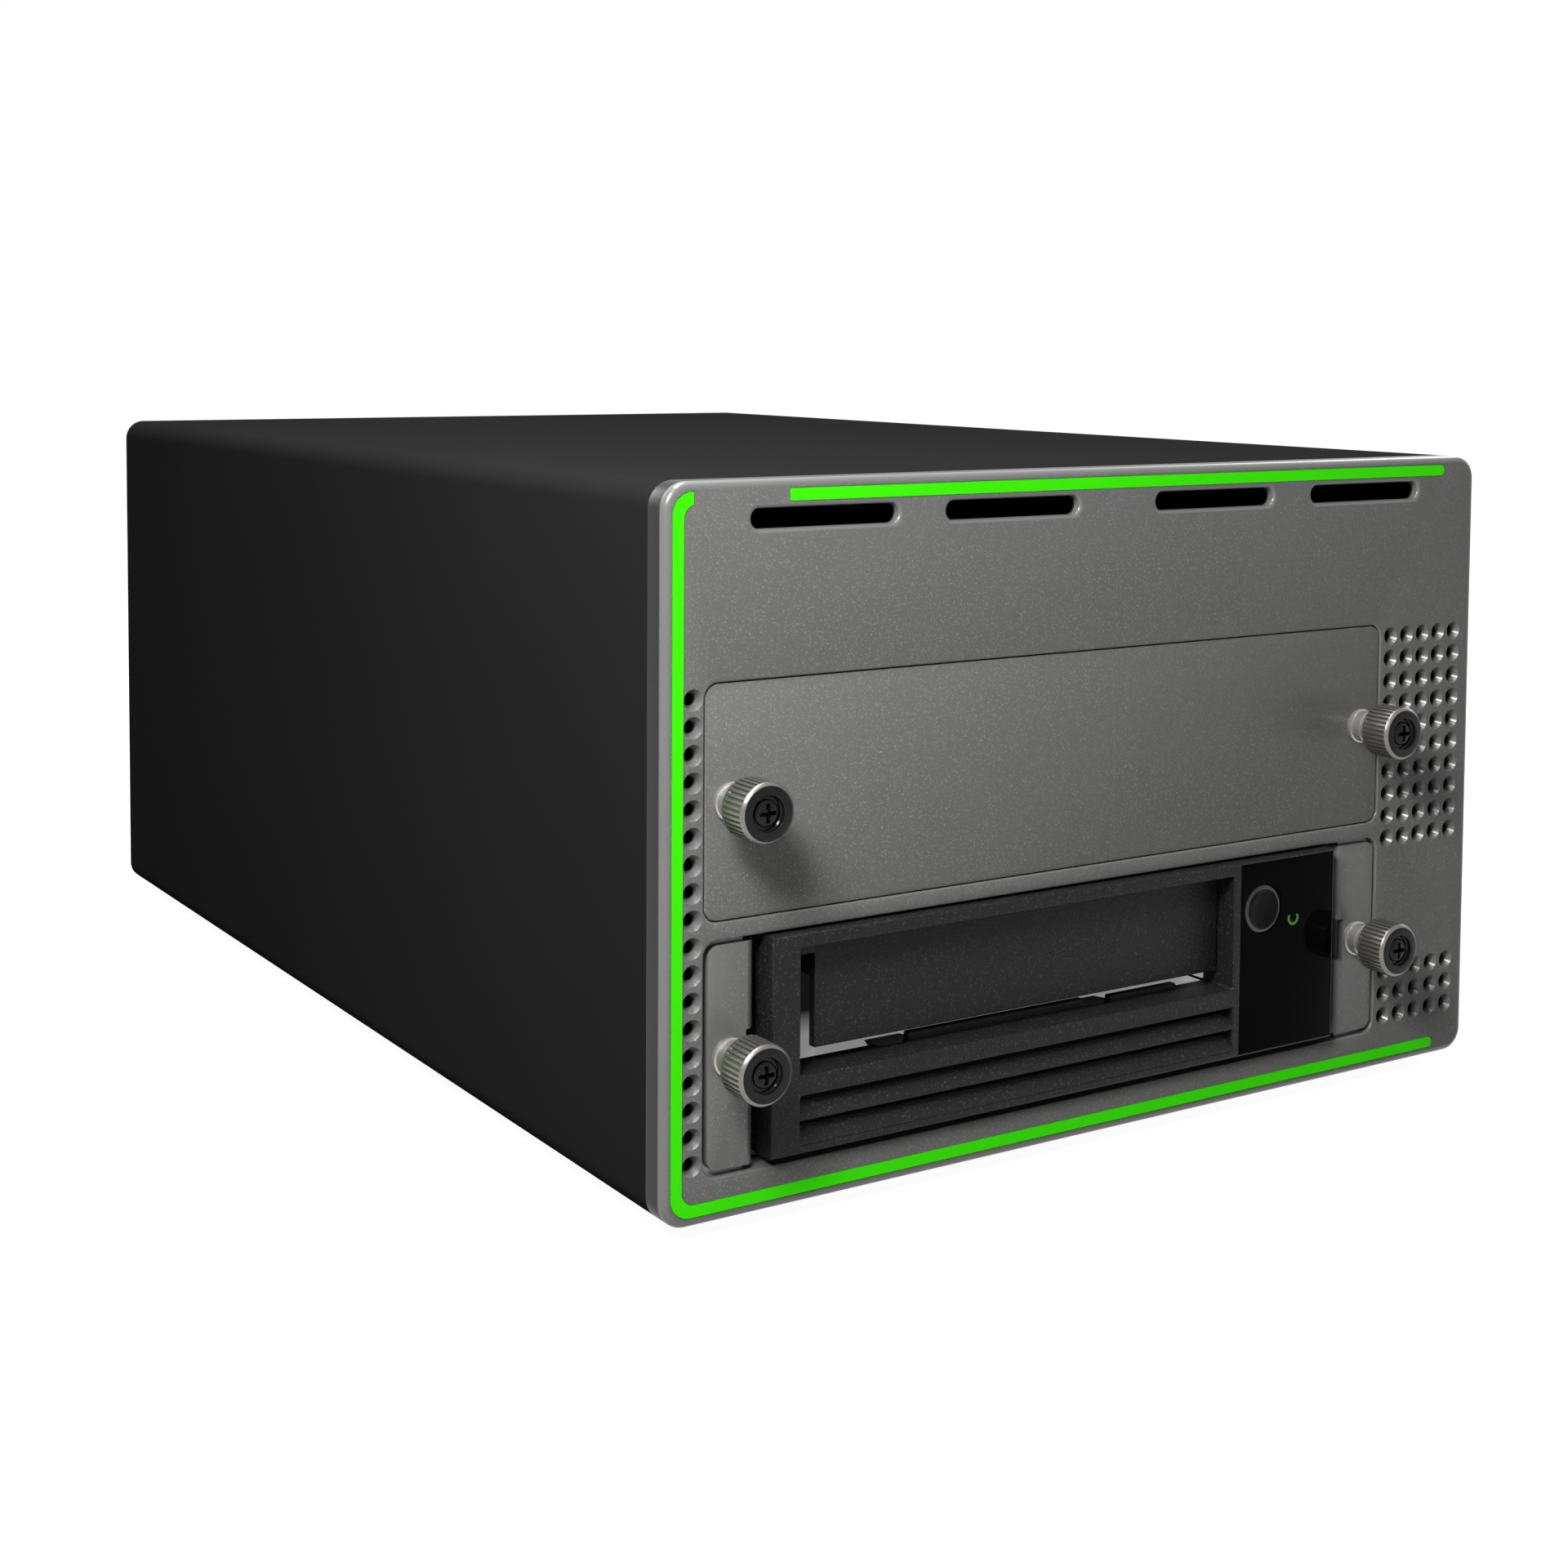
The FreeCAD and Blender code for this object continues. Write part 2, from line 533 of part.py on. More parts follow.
def drive_lid():
    z = DRIVE_Z0 + DRIVE_H
    lid = block(DRIVE_X0, DRIVE_X1, BEZEL_BACK, DRIVE_D, z, z + LID_T)
    ribs = [block(DRIVE_X0 + 20, DRIVE_X1 - 20, d, d + 6.0, z - 0.6, z) for d in (70.0, 100.0, 130.0)]
    return lid.fuse(ribs)


def louvre_wedge(z0, z1):
    """A slat that is flush at its lower edge and set back at its upper edge."""
    f = -BEZEL_PROUD
    return side_prism([(f, z0), (f, z0 + 0.5), (f + LOUVRE_D, z1), (BEZEL_BACK - 1.5, z1), (BEZEL_BACK - 1.5, z0)],
                      MOUTH[0], MOUTH[1])


def drive_bezel():
    f, z0, z1 = -BEZEL_PROUD, BEZEL_Z0, BEZEL_Z0 + BEZEL_H
    body = block(DRIVE_X0, DRIVE_X1, f, BEZEL_BACK, z0, z1)
    low, high = z0 + LOUVRE_Z[0], z0 + LOUVRE_Z[1]
    mouth = block(MOUTH[0], MOUTH[1], f - 1, BEZEL_BACK + 1, MOUTH[2], MOUTH[3])
    pocket = block(MOUTH[0], MOUTH[1], f + LIP_T, BEZEL_BACK + 1, MOUTH[3] - 1, MOUTH[3] + HINGE_POCKET)
    grille = block(MOUTH[0], MOUTH[1], f - 1, BEZEL_BACK + 1, low, high)
    seat = block(DRIVE_X0 + PANEL_X, DRIVE_X1 - PANEL_EDGE, f - 1, f + PANEL_T, z0 + PANEL_EDGE, z1 - PANEL_EDGE)
    behind = block(DRIVE_X0 + PANEL_X, DRIVE_X1 - 2.0, 3.0, BEZEL_BACK + 1, z0 + 2.0, z1 - 2.0)
    bx, bz = DRIVE_X0 + BUTTON_AT[0], z0 + BUTTON_AT[1]
    hole = rod_y(bx, bz, BUTTON_R + BUTTON_GAP, f - 1, BEZEL_BACK + 1)
    pin = rod_x(PIN_AT[0], PIN_AT[1], PIN_R, MOUTH[0] - 1.2, MOUTH[1] + 1.2)
    side = block(DRIVE_X0 - 1, DRIVE_X0 + BEZEL_SIDE_GAP, f - 1, BEZEL_SIDE_D, z0 - 1, z1 + 1)
    notches = [block(MOUTH[0] + a, MOUTH[0] + a + w, BEZEL_BACK - GUIDE_NOTCH_D, BEZEL_BACK + 1,
                     MOUTH[2] - 0.8, MOUTH[2] + 1) for a, w in GUIDE_NOTCHES]
    body = body.cut([mouth, pocket, grille, seat, behind, hole, pin, side] + notches)
    step = (high - low) / 2.0
    guides = [block(MOUTH[0] + a, MOUTH[0] + a + w, *GUIDE_D, MOUTH[2] - 0.5, MOUTH[2] + h)
              for a, w, h in GUIDE_STEPS]
    slats = [louvre_wedge(low + k * step, low + (k + 1) * step - LOUVRE_GAP) for k in range(2)]
    return body.fuse(guides + slats)


def mouth_liner():
    """Bright sheet beside the cartridge's path, fixed behind the mouth's right end."""
    x1 = MOUTH[1]
    side = block(x1 - LINER_T, x1, *LINER_D, MOUTH[2] + 0.5, PIN_AT[1] - 0.7)
    foot = block(x1 - LINER_T, x1 + 3.0, LINER_D[0], LINER_D[0] + LINER_T, MOUTH[2] + 0.5, PIN_AT[1] - 0.7)
    return side.fuse(foot)


def light_arc(d0, d1):
    """The status light's U-shaped window."""
    x, z, w, r = DRIVE_X0 + LIGHT_AT[0], BEZEL_Z0 + LIGHT_AT[1], LIGHT_W, LIGHT_R
    outer = [(x - r, z + r * 0.4), (x - r, z - r * 0.4), (x - r * 0.4, z - r), (x + r * 0.4, z - r),
             (x + r, z - r * 0.4), (x + r, z + r * 0.4)]
    inner = [(x + r - w, z + r * 0.4), (x + r - w, z - r * 0.15), (x + r * 0.3, z - r + w),
             (x - r * 0.3, z - r + w), (x - r + w, z - r * 0.15), (x - r + w, z + r * 0.4)]
    pts = [V(a, y_at(d0), b) for a, b in outer + inner]
    return Part.Face(Part.makePolygon(pts + [pts[0]])).extrude(V(0, d1 - d0, 0))


def control_panel():
    f, z0, z1 = -BEZEL_PROUD, BEZEL_Z0 + PANEL_EDGE, BEZEL_Z0 + BEZEL_H - PANEL_EDGE
    plate = block(DRIVE_X0 + PANEL_X, DRIVE_X1 - PANEL_EDGE, f, f + PANEL_T, z0, z1)
    hole = rod_y(DRIVE_X0 + BUTTON_AT[0], BEZEL_Z0 + BUTTON_AT[1], BUTTON_R + BUTTON_GAP, f - 1, f + 3)
    return plate.cut([hole, light_arc(f, f + PANEL_T)])


def status_light():
    return light_arc(-BEZEL_PROUD, -BEZEL_PROUD + PANEL_T)


def eject_button():
    """Round button with a guide stem behind the panel."""
    x, z, f = DRIVE_X0 + BUTTON_AT[0], BEZEL_Z0 + BUTTON_AT[1], -BEZEL_PROUD
    cap = rod_y(x, z, BUTTON_R, f + 0.2, 5.0)
    return cap.fuse(ngon_y(x, z, 2.0, 4.5, BEZEL_BACK + 3.0, 6))


def load_door():
    """Inward-swinging flap: shorter on its left below, full width at its hinge barrel."""
    d0, d1 = DOOR_FRONT, DOOR_FRONT + DOOR_T
    left, right = MOUTH[0] + DOOR_GAP, MOUTH[1] - DOOR_GAP
    bottom, split = MOUTH[2] + DOOR_BOTTOM, MOUTH[3] - DOOR_TOP_H
    plate = block(left + DOOR_SIDE, right - 0.3, d0, d1, bottom, PIN_AT[1])
    head = block(left, right, d0, d1, split, PIN_AT[1] + 0.4)
    barrel = rod_x(PIN_AT[0], PIN_AT[1], BARREL_R, left, right)
    bore = rod_x(PIN_AT[0], PIN_AT[1], PIN_R + 0.05, left - 1, right + 1)
    return plate.fuse([head, barrel]).removeSplitter().cut(bore)


def door_pin():
    return rod_x(PIN_AT[0], PIN_AT[1], PIN_R, MOUTH[0] - 1.2, MOUTH[1] + 1.2)


# ---------------------------------------------------------------- tape mechanism
def deck_plate():
    z = DRIVE_Z0 + DECK_Z
    x0, x1 = DRIVE_X0 + CASE_T + 2.0, DRIVE_X1 - CASE_T - 2.0
    plate = block(x0, x1, 12.0, 196.0, z, z + DECK_T)
    posts = [ngon_z(x, d, 3.0, DRIVE_Z0 + CASE_T, z) for x in (x0 + 8, x1 - 8) for d in (22.0, 186.0)]
    return plate.fuse(posts)


def deck_fittings():
    """Motor housings, roller spindles and the head's base, all fixed on the deck."""
    z = DECK_TOP
    hub, reel = DRIVE_X0 + HUB_AT[0], DRIVE_X0 + REEL_AT[0]
    solids = [ngon_z(hub, HUB_AT[1], 20.0, z, z + 2.0, 12).fuse(rod_z(hub, HUB_AT[1], 2.5, z + 1.0, z + 4.0)),
              ngon_z(reel, REEL_AT[1], 18.0, z, z + 2.0, 12).fuse(rod_z(reel, REEL_AT[1], 3.0, z + 1.0, z + 18.0))]
    solids += [rod_z(DRIVE_X0 + x, d, 1.5, z, z + 18.0) for x, d in ROLLERS_AT]
    hx, hd = DRIVE_X0 + HEAD_AT[0], HEAD_AT[1]
    base = block(hx - 7, hx + 9, hd - 10, hd + 10, z, z + 3.0)
    rails = [ngon_z(hx + 4, hd + s * 7, 1.2, z + 2.0, z + 24.0, 8) for s in (-1, 1)]
    return Part.makeCompound(solids + [base.fuse(rails)])


def hub_spindle():
    """Toothed clutch disc that turns the cartridge's reel."""
    x, d, z = DRIVE_X0 + HUB_AT[0], HUB_AT[1], DECK_TOP
    disc = ngon_z(x, d, HUB_R + 2.0, z + 2.3, z + 3.3, 16).fuse(ngon_z(x, d, HUB_R, z + 3.0, z + 5.8, 16))
    return disc.cut(rod_z(x, d, 2.6, z, z + 4.3))


def take_up_reel():
    x, d, z = DRIVE_X0 + REEL_AT[0], REEL_AT[1], DECK_TOP + 2.4
    flanges = [ngon_z(x, d, REEL_R, z + h, z + h + 1.2, 24) for h in (0, 15.0)]
    return ngon_z(x, d, 13.0, z + 0.6, z + 15.6, 24).fuse(flanges).cut(rod_z(x, d, 3.1, z - 1, z + 17))


def guide_roller(index):
    x, d = ROLLERS_AT[index]
    z, x = DECK_TOP + 0.4, x + DRIVE_X0
    rims = [ngon_z(x, d, ROLLER_R + 1, z + h, z + h + 1, 12) for h in (0, 15.0)]
    return ngon_z(x, d, ROLLER_R, z + 0.5, z + 15.5, 12).fuse(rims).cut(rod_z(x, d, 1.6, z - 1, z + 17))


def head_carriage():
    hx, hd, z = DRIVE_X0 + HEAD_AT[0], HEAD_AT[1], DECK_TOP
    body = block(hx - 6, hx + 8, hd - 9.5, hd + 9.5, z + 7.0, z + 16.0)
    face = block(hx - 8.5, hx - 6, hd - 5, hd + 5, z + 5.5, z + 17.5)
    bores = [ngon_z(hx + 4, hd + s * 7, 1.25, z, z + 30, 8) for s in (-1, 1)]
    return body.fuse(face).cut(bores)


def bucket_span():
    """Inner X limits of the cartridge bucket, centred on the mouth."""
    middle, half = (MOUTH[0] + MOUTH[1]) / 2.0, CARTRIDGE[0] / 2.0 + 0.4
    return middle - half, middle + half


def cartridge_bucket():
    """Bright sheet bucket: floor with a hub window, two walls and cam pins through the slider."""
    x0, x1 = bucket_span()
    d0, d1 = BUCKET_D0, BUCKET_D0 + BUCKET_L
    floor = block(x0 - BUCKET_T, x1 + BUCKET_T, d0, d1, BUCKET_Z - BUCKET_T, BUCKET_Z)
    walls = [block(a, a + BUCKET_T, d0 + 19, d1, BUCKET_Z - BUCKET_T, BUCKET_Z + CARTRIDGE[2] * 0.7)
             for a in (x0 - BUCKET_T, x1)]
    window = ngon_z(DRIVE_X0 + HUB_AT[0], HUB_AT[1], HUB_R + 6.0, BUCKET_Z - 3, BUCKET_Z + 1, 12)
    middle = (x0 + x1) / 2.0
    notches = [plan_prism([(m - 7, d0 - 1), (m + 7, d0 - 1), (m + 4.5, d0 + 5), (m - 4.5, d0 + 5)],
                          BUCKET_Z - 3, BUCKET_Z + 1) for m in (middle - 26, middle + 24)]
    stop = block(x0 + 10, x1 - 10, d1 - BUCKET_T, d1, BUCKET_Z, BUCKET_Z + 9)
    pins = [side_prism(octagon(d, BUCKET_Z + 6, 1.2), *span) for d in CAM_AT
            for span in ((x0 - BUCKET_T - 3.2, x0 - BUCKET_T), (x1 + BUCKET_T, x1 + BUCKET_T + 3.2))]
    return floor.fuse(walls + [stop] + pins).cut([window] + notches)


def loader_slider():
    """Two cam plates beside the bucket, joined behind it. Slanted slots lower the bucket's pins."""
    x0, x1 = bucket_span()
    d0, d1 = BUCKET_D0 + 6.0, BUCKET_D0 + BUCKET_L + 4.0
    z0, z1 = BUCKET_Z - 2.0, BUCKET_Z + 11.0
    t, gap = 1.2, 0.6
    plates = [block(a, a + t, d0, d1, z0, z1) for a in (x0 - BUCKET_T - gap - t, x1 + BUCKET_T + gap)]
    bridge = block(x0 - BUCKET_T - gap - t, x1 + BUCKET_T + gap + t, d1 - t, d1, z0, z0 + 5)
    half, slope, z = 1.8, LOAD_DROP / LOAD_STROKE, BUCKET_Z + 6
    slots = []
    for d in CAM_AT:
        a, b = 2.2, -LOAD_STROKE - 2.2
        outline = [(d + a, z + half + a * slope), (d + b, z + half + b * slope),
                   (d + b, z - half + b * slope), (d + a, z - half + a * slope)]
        slots.append(side_prism(outline, x0 - 10, x1 + 10))
    return plates[0].fuse([plates[1], bridge]).cut(slots)


def drive_board():
    z = DRIVE_Z0 + 34.0
    board = block(DRIVE_X0 + 6, DRIVE_X1 - 6, 132.0, 200.0, z, z + 1.6)
    posts = [ngon_z(x, d, 2.5, z + 1.6, DRIVE_Z0 + DRIVE_H) for x in (DRIVE_X0 + 12, DRIVE_X1 - 12)
             for d in (140.0, 192.0)]
    return board.fuse(posts)


def drive_chips():
    z = DRIVE_Z0 + 35.6
    spots = ((30, 145, 18, 18), (64, 148, 14, 14), (96, 146, 20, 12), (40, 176, 12, 16), (84, 176, 26, 14))
    return Part.makeCompound([block(DRIVE_X0 + x, DRIVE_X0 + x + w, d, d + l, z, z + 1.8)
                              for x, d, w, l in spots])


def dock_plug():
    """Connector block on the drive's rear wall, with a tongue that enters the docking socket."""
    x, z = DRIVE_X0 + 74.0, DRIVE_Z0 + 11.0
    body = block(x - 21.5, x + 21.5, DRIVE_D - 8.0, DRIVE_D + 2.0, z - 4.5, z + 4.5)
    tongue = block(x - 16.0, x + 16.0, DRIVE_D + 2.0, DRIVE_D + 8.0, z - 1.0, z + 1.0)
    return body.fuse(tongue)


def dock_socket():
    x, z = DRIVE_X0 + 74.0, DRIVE_Z0 + 11.0
    d0 = DRIVE_D + 2.6
    body = block(x - 20.0, x + 20.0, d0, CAGE_D, z - 4.5, z + 4.5)
    return body.cut(block(x - 16.4, x + 16.4, d0 - 1, DRIVE_D + 9.0, z - 1.4, z + 1.4))


# ---------------------------------------------------------------- rear compartment
def backplane():
    return block(CAGE_IN[0] - SHEET, CAGE_IN[1] + SHEET, CAGE_D, CAGE_D + 1.6, PAN_TOP, BAY_UP[0])


def inlet_box(half_x, half_z, d0, d1):
    x, z = INLET_AT[0], Z0 + INLET_AT[1]
    return block(x - half_x, x + half_x, d0, d1, z - half_z, z + half_z)


def mains_inlet():
    """Three-pin appliance inlet with an open shroud."""
    x, z = INLET_AT[0], Z0 + INLET_AT[1]
    flange = block(x - 15.2, x + 15.2, REAR_OUT, REAR_OUT + 2.5, z - 11.6, z + 11.6)
    body = inlet_box(13.5, 9.9, REAR_OUT - 22.0, REAR_OUT)
    corner = 4.0
    outline = [(-12.2, -8.2), (12.2, -8.2), (12.2, 8.2 - corner), (12.2 - corner, 8.2),
               (-12.2 + corner, 8.2), (-12.2, 8.2 - corner)]
    pts = [V(x + a, y_at(REAR_OUT - 16.0), z + b) for a, b in outline]
    cavity = Part.Face(Part.makePolygon(pts + [pts[0]])).extrude(V(0, 22, 0))
    return flange.fuse(body).cut(cavity)


def inlet_pins():
    x, z = INLET_AT[0], Z0 + INLET_AT[1]
    spots = ((-7.0, -2.0), (7.0, -2.0), (0.0, 2.0))
    return Part.makeCompound([block(x + a - 1.0, x + a + 1.0, REAR_OUT - 16.0, REAR_OUT - 2.8,
                                    z + b - 2.0, z + b + 2.0) for a, b in spots])


ROCKER_PIVOT = REAR_OUT - ROCKER_SUNK


def rocker_frame():
    x, z = ROCKER_AT[0], Z0 + ROCKER_AT[1]
    flange = block(x - 7.5, x + 7.5, REAR_OUT, REAR_OUT + 2.0, z - 11.6, z + 11.6)
    body = block(x - 6.4, x + 6.4, REAR_OUT - 14.0, REAR_OUT, z - 10.5, z + 10.5)
    well = block(x - 5.2, x + 5.2, REAR_OUT - 12.0, REAR_OUT + 3.0, z - 9.3, z + 9.3)
    return flange.fuse(body).cut(well).fuse(rod_x(ROCKER_PIVOT, z, 1.0, x - 5.3, x + 5.3))


def power_rocker():
    """Rocker with two shallow finger faces, resting on its off side."""
    x, z = ROCKER_AT[0], Z0 + ROCKER_AT[1]
    p = ROCKER_PIVOT
    h, tip = ROCKER_HALF, ROCKER_RISE
    shape = side_prism([(p + tip, z - h), (p + tip - 2.2, z), (p + tip, z + h), (p + 2.0, z + h),
                        (p - 4.0, z + 3.0), (p - 4.0, z - 3.0), (p + 2.0, z - h)], x - 4.9, x + 4.9)
    shape = shape.cut(rod_x(p, z, 1.05, x - 6, x + 6))
    shape.rotate(V(x, y_at(p), z), V(1, 0, 0), -ROCKER_TILT)
    return shape


def fan_frame():
    x, z = FAN_AT[0], Z0 + FAN_AT[1]
    h = FAN_SIZE / 2.0
    d0, d1 = REAR_IN - FAN_T, REAR_IN
    body = block(x - h, x + h, d0, d1, z - h, z + h).cut(ngon_y(x, z, FAN_BORE_R, d0 - 1, d1 + 1, 32))
    hub = ngon_y(x, z, FAN_HUB_R, d1 - 3.0, d1, 16)
    arms = []
    for k in range(4):
        arm = block(x, x + FAN_BORE_R + 1.0, d1 - 3.0, d1, z - 2.0, z + 2.0)
        arm.rotate(V(x, 0, z), V(0, 1, 0), 45 + 90 * k)
        arms.append(arm)
    return body.fuse([hub, rod_y(x, z, 1.5, d0 + 4.0, d1 - 2.0)] + arms)


def fan_rotor():
    x, z = FAN_AT[0], Z0 + FAN_AT[1]
    d0, d1 = REAR_IN - FAN_T + 1.5, REAR_IN - 3.6
    hub = ngon_y(x, z, FAN_HUB_R, d0, d1, 21)
    mid, span = (d0 + d1) / 2.0, d1 - d0 - 1.0
    blades = []
    for k in range(FAN_BLADES):
        profile = [(mid - span / 2, z - 9.0), (mid - span / 2, z - 7.0), (mid + span / 2, z + 9.0),
                   (mid + span / 2, z + 7.0)]
        blade = side_prism(profile, x + FAN_HUB_R - 2.0, x + FAN_BLADE_R - 1.5)
        blade.rotate(V(x, 0, z), V(0, 1, 0), 360.0 * k / FAN_BLADES)
        blades.append(blade)
    return hub.fuse(blades).cut(rod_y(x, z, 1.6, d0 + 1.5, d1 + 1))


def fan_grille_slots():
    """Finger-guard slots through the rear panel, shorter towards the top and bottom."""
    x, z = FAN_AT[0], Z0 + FAN_AT[1]
    slots = []
    for k in range(-5, 6):
        h = 6.6 * k
        reach = math.sqrt((FAN_BORE_R - 1.0) ** 2 - (abs(h) + 2.1) ** 2)
        for a, b in ((-reach, -1.6), (1.6, reach)):
            slots.append(block(x + a, x + b, REAR_IN - 1, REAR_OUT + 1, z + h - 2.1, z + h + 2.1))
    return slots


HOST_X = (-86.0, -66.0)
SAS_X = -36.0


def rear_panel():
    inset = SLEEVE_T + REAR_GAP
    panel = shell_prism(inset, CORNER_R - inset, REAR_IN, REAR_OUT)
    z = Z0 + BOARD_Z + 1.6
    rx, rz = ROCKER_AT[0], Z0 + ROCKER_AT[1]
    cuts = [inlet_box(13.5, 9.9, REAR_IN - 1, REAR_OUT + 1),
            block(rx - 6.4, rx + 6.4, REAR_IN - 1, REAR_OUT + 1, rz - 10.5, rz + 10.5),
            block(SAS_X - 8.2, SAS_X + 8.2, REAR_IN - 1, REAR_OUT + 1, z - 0.3, z + 9.9)]
    cuts += [block(x - 4.9, x + 4.9, REAR_IN - 1, REAR_OUT + 1, z - 0.3, z + 3.6) for x in HOST_X]
    return panel.cut(cuts + fan_grille_slots())


def psu_bracket():
    """Folded bracket of the open-frame power supply, screwed to the chassis floor."""
    x0, x1, d0, d1 = -96.0, -18.0, 228.0, 288.0
    base = block(x0, x1, d0, d1, PAN_TOP, PAN_TOP + SHEET)
    side = block(x1 - SHEET, x1, d0, d1, PAN_TOP + SHEET, PAN_TOP + 34.0)
    return base.fuse(side)


def psu_board():
    z = PAN_TOP + SHEET
    posts = [ngon_z(x, d, 2.5, z, z + 5.0) for x in (-91.0, -27.0) for d in (234.0, 282.0)]
    return block(-94.5, -20.5, 230.0, 286.0, z + 5.0, z + 6.6).fuse(posts)


def psu_parts():
    z = PAN_TOP + SHEET + 6.6
    solids = [block(-72.0, -46.0, 248.0, 270.0, z, z + 22.0), ngon_z(-84.0, 244.0, 8.0, z, z + 24.0, 12),
              ngon_z(-84.0, 264.0, 5.0, z, z + 18.0, 10), block(-40.0, -36.5, 234.0, 282.0, z, z + 26.0),
              block(-90.0, -76.0, 273.0, 284.0, z, z + 12.0), ngon_z(-56.0, 277.0, 5.0, z, z + 16.0, 10)]
    return Part.makeCompound(solids)


def rear_shelf():
    """Folded shelf on the rear panel that carries the interface board."""
    z = Z0 + BOARD_Z - 5.2
    plate = block(-98.0, -4.0, 236.0, REAR_IN, z, z + SHEET)
    flange = block(-98.0, -4.0, REAR_IN - SHEET, REAR_IN, z - 8.0, z)
    posts = [ngon_z(x, d, 2.5, z + SHEET, Z0 + BOARD_Z) for x in (-92.0, -10.0) for d in (244.0, 296.0)]
    return plate.fuse([flange] + posts)


def interface_board():
    z = Z0 + BOARD_Z
    return block(-96.0, -6.0, 240.0, REAR_IN - 1.0, z, z + 1.6)


def board_parts():
    z = Z0 + BOARD_Z + 1.6
    sink = block(-70.0, -46.0, 258.0, 282.0, z, z + 3.0)
    fins = [block(-70.0 + 4.4 * k, -68.0 + 4.4 * k, 258.0, 282.0, z + 3.0, z + 9.0) for k in range(6)]
    chips = [block(-90.0, -78.0, 262.0, 274.0, z, z + 1.6), block(-38.0, -24.0, 250.0, 262.0, z, z + 1.6),
             block(-36.0, -26.0, 270.0, 278.0, z, z + 4.0)]
    return Part.makeCompound([sink.fuse(fins)] + chips)


def host_ports():
    z = Z0 + BOARD_Z + 1.6
    solids = []
    for x in HOST_X:
        shell = block(x - 4.5, x + 4.5, REAR_IN - 8.0, REAR_OUT + 0.6, z, z + 3.3)
        shell = shell.cut(block(x - 4.2, x + 4.2, REAR_IN - 6.0, REAR_OUT + 2, z + 0.3, z + 3.0))
        tongue = block(x - 3.2, x + 3.2, REAR_IN - 7.0, REAR_OUT - 0.4, z + 1.35, z + 1.95)
        solids.append(shell.fuse(tongue))
    return Part.makeCompound(solids)


def sas_port():
    z = Z0 + BOARD_Z + 1.6
    x = SAS_X
    shell = block(x - 7.8, x + 7.8, REAR_IN - 22.0, REAR_OUT + 1.2, z, z + 9.5)
    shell = shell.cut(block(x - 7.2, x + 7.2, REAR_IN - 16.0, REAR_OUT + 3, z + 0.6, z + 8.9))
    cards = [block(x - 5.8, x + 5.8, REAR_IN - 17.0, REAR_OUT - 2.0, z + h, z + h + 1.0) for h in (2.6, 6.0)]
    return shell.fuse(cards)


# ---------------------------------------------------------------- the whole object
def build():
    """Every sub-part by node name."""
    parts = {
        "front_bezel": front_bezel(), "accent_stripe": accent_stripe(), "sleeve": sleeve(),
        "base_pan": base_pan(), "feet": feet(), "cage_sides": cage_sides(), "bay_shelves": bay_shelves(),
        "thumb_nuts": thumb_nuts(), "rear_panel": rear_panel(), "backplane": backplane(),
        "dock_socket": dock_socket(), "mains_inlet": mains_inlet(), "inlet_pins": inlet_pins(),
        "rocker_frame": rocker_frame(), "power_rocker": power_rocker(), "fan_frame": fan_frame(),
        "fan_rotor": fan_rotor(), "psu_bracket": psu_bracket(), "psu_board": psu_board(),
        "psu_parts": psu_parts(), "rear_shelf": rear_shelf(), "interface_board": interface_board(),
        "board_parts": board_parts(), "host_ports": host_ports(), "sas_port": sas_port(),
        "blank_cover": blank_cover(), "blank_ferrules": blank_ferrules(),
        "tray_pan": tray_pan(), "tray_ferrules": tray_ferrules(), "drive_spacers": drive_spacers(),
        "drive_case": drive_case(), "drive_lid": drive_lid(), "drive_bezel": drive_bezel(),
        "mouth_liner": mouth_liner(),
        "control_panel": control_panel(), "status_light": status_light(), "eject_button": eject_button(),
        "load_door": load_door(), "door_pin": door_pin(), "deck_plate": deck_plate(),
        "deck_fittings": deck_fittings(), "hub_spindle": hub_spindle(), "take_up_reel": take_up_reel(),
        "guide_roller_front": guide_roller(0), "guide_roller_rear": guide_roller(1),
        "head_carriage": head_carriage(), "cartridge_bucket": cartridge_bucket(),
        "loader_slider": loader_slider(), "drive_board": drive_board(), "drive_chips": drive_chips(),
        "dock_plug": dock_plug(),
    }
    for row, z in SCREW_Z.items():
        for side, x in SCREW_X.items():
            place = {"u": "upper", "l": "lower"}[row] + "_" + {"l": "left", "r": "right"}[side]
            parts["thumb_washer_" + place] = thumb_washer(x, z)
            parts["thumbscrew_" + place] = thumbscrew(x, z)
    return parts


os.makedirs("parts", exist_ok=True)
for name, shape in build().items():
    shape.exportStep("parts/" + name + ".step")
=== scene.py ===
"""Looks of a desktop data tape drive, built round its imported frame.

Sizes are in millimetres in every class. They become metres only where Blender takes them.
+X is right as seen from the front, +Y runs from the front to the back and +Z is up.
"""

import json
import logging
import math
from dataclasses import dataclass, replace
from enum import Enum
from typing import Any, Callable, Iterable, Optional, Sequence, Union

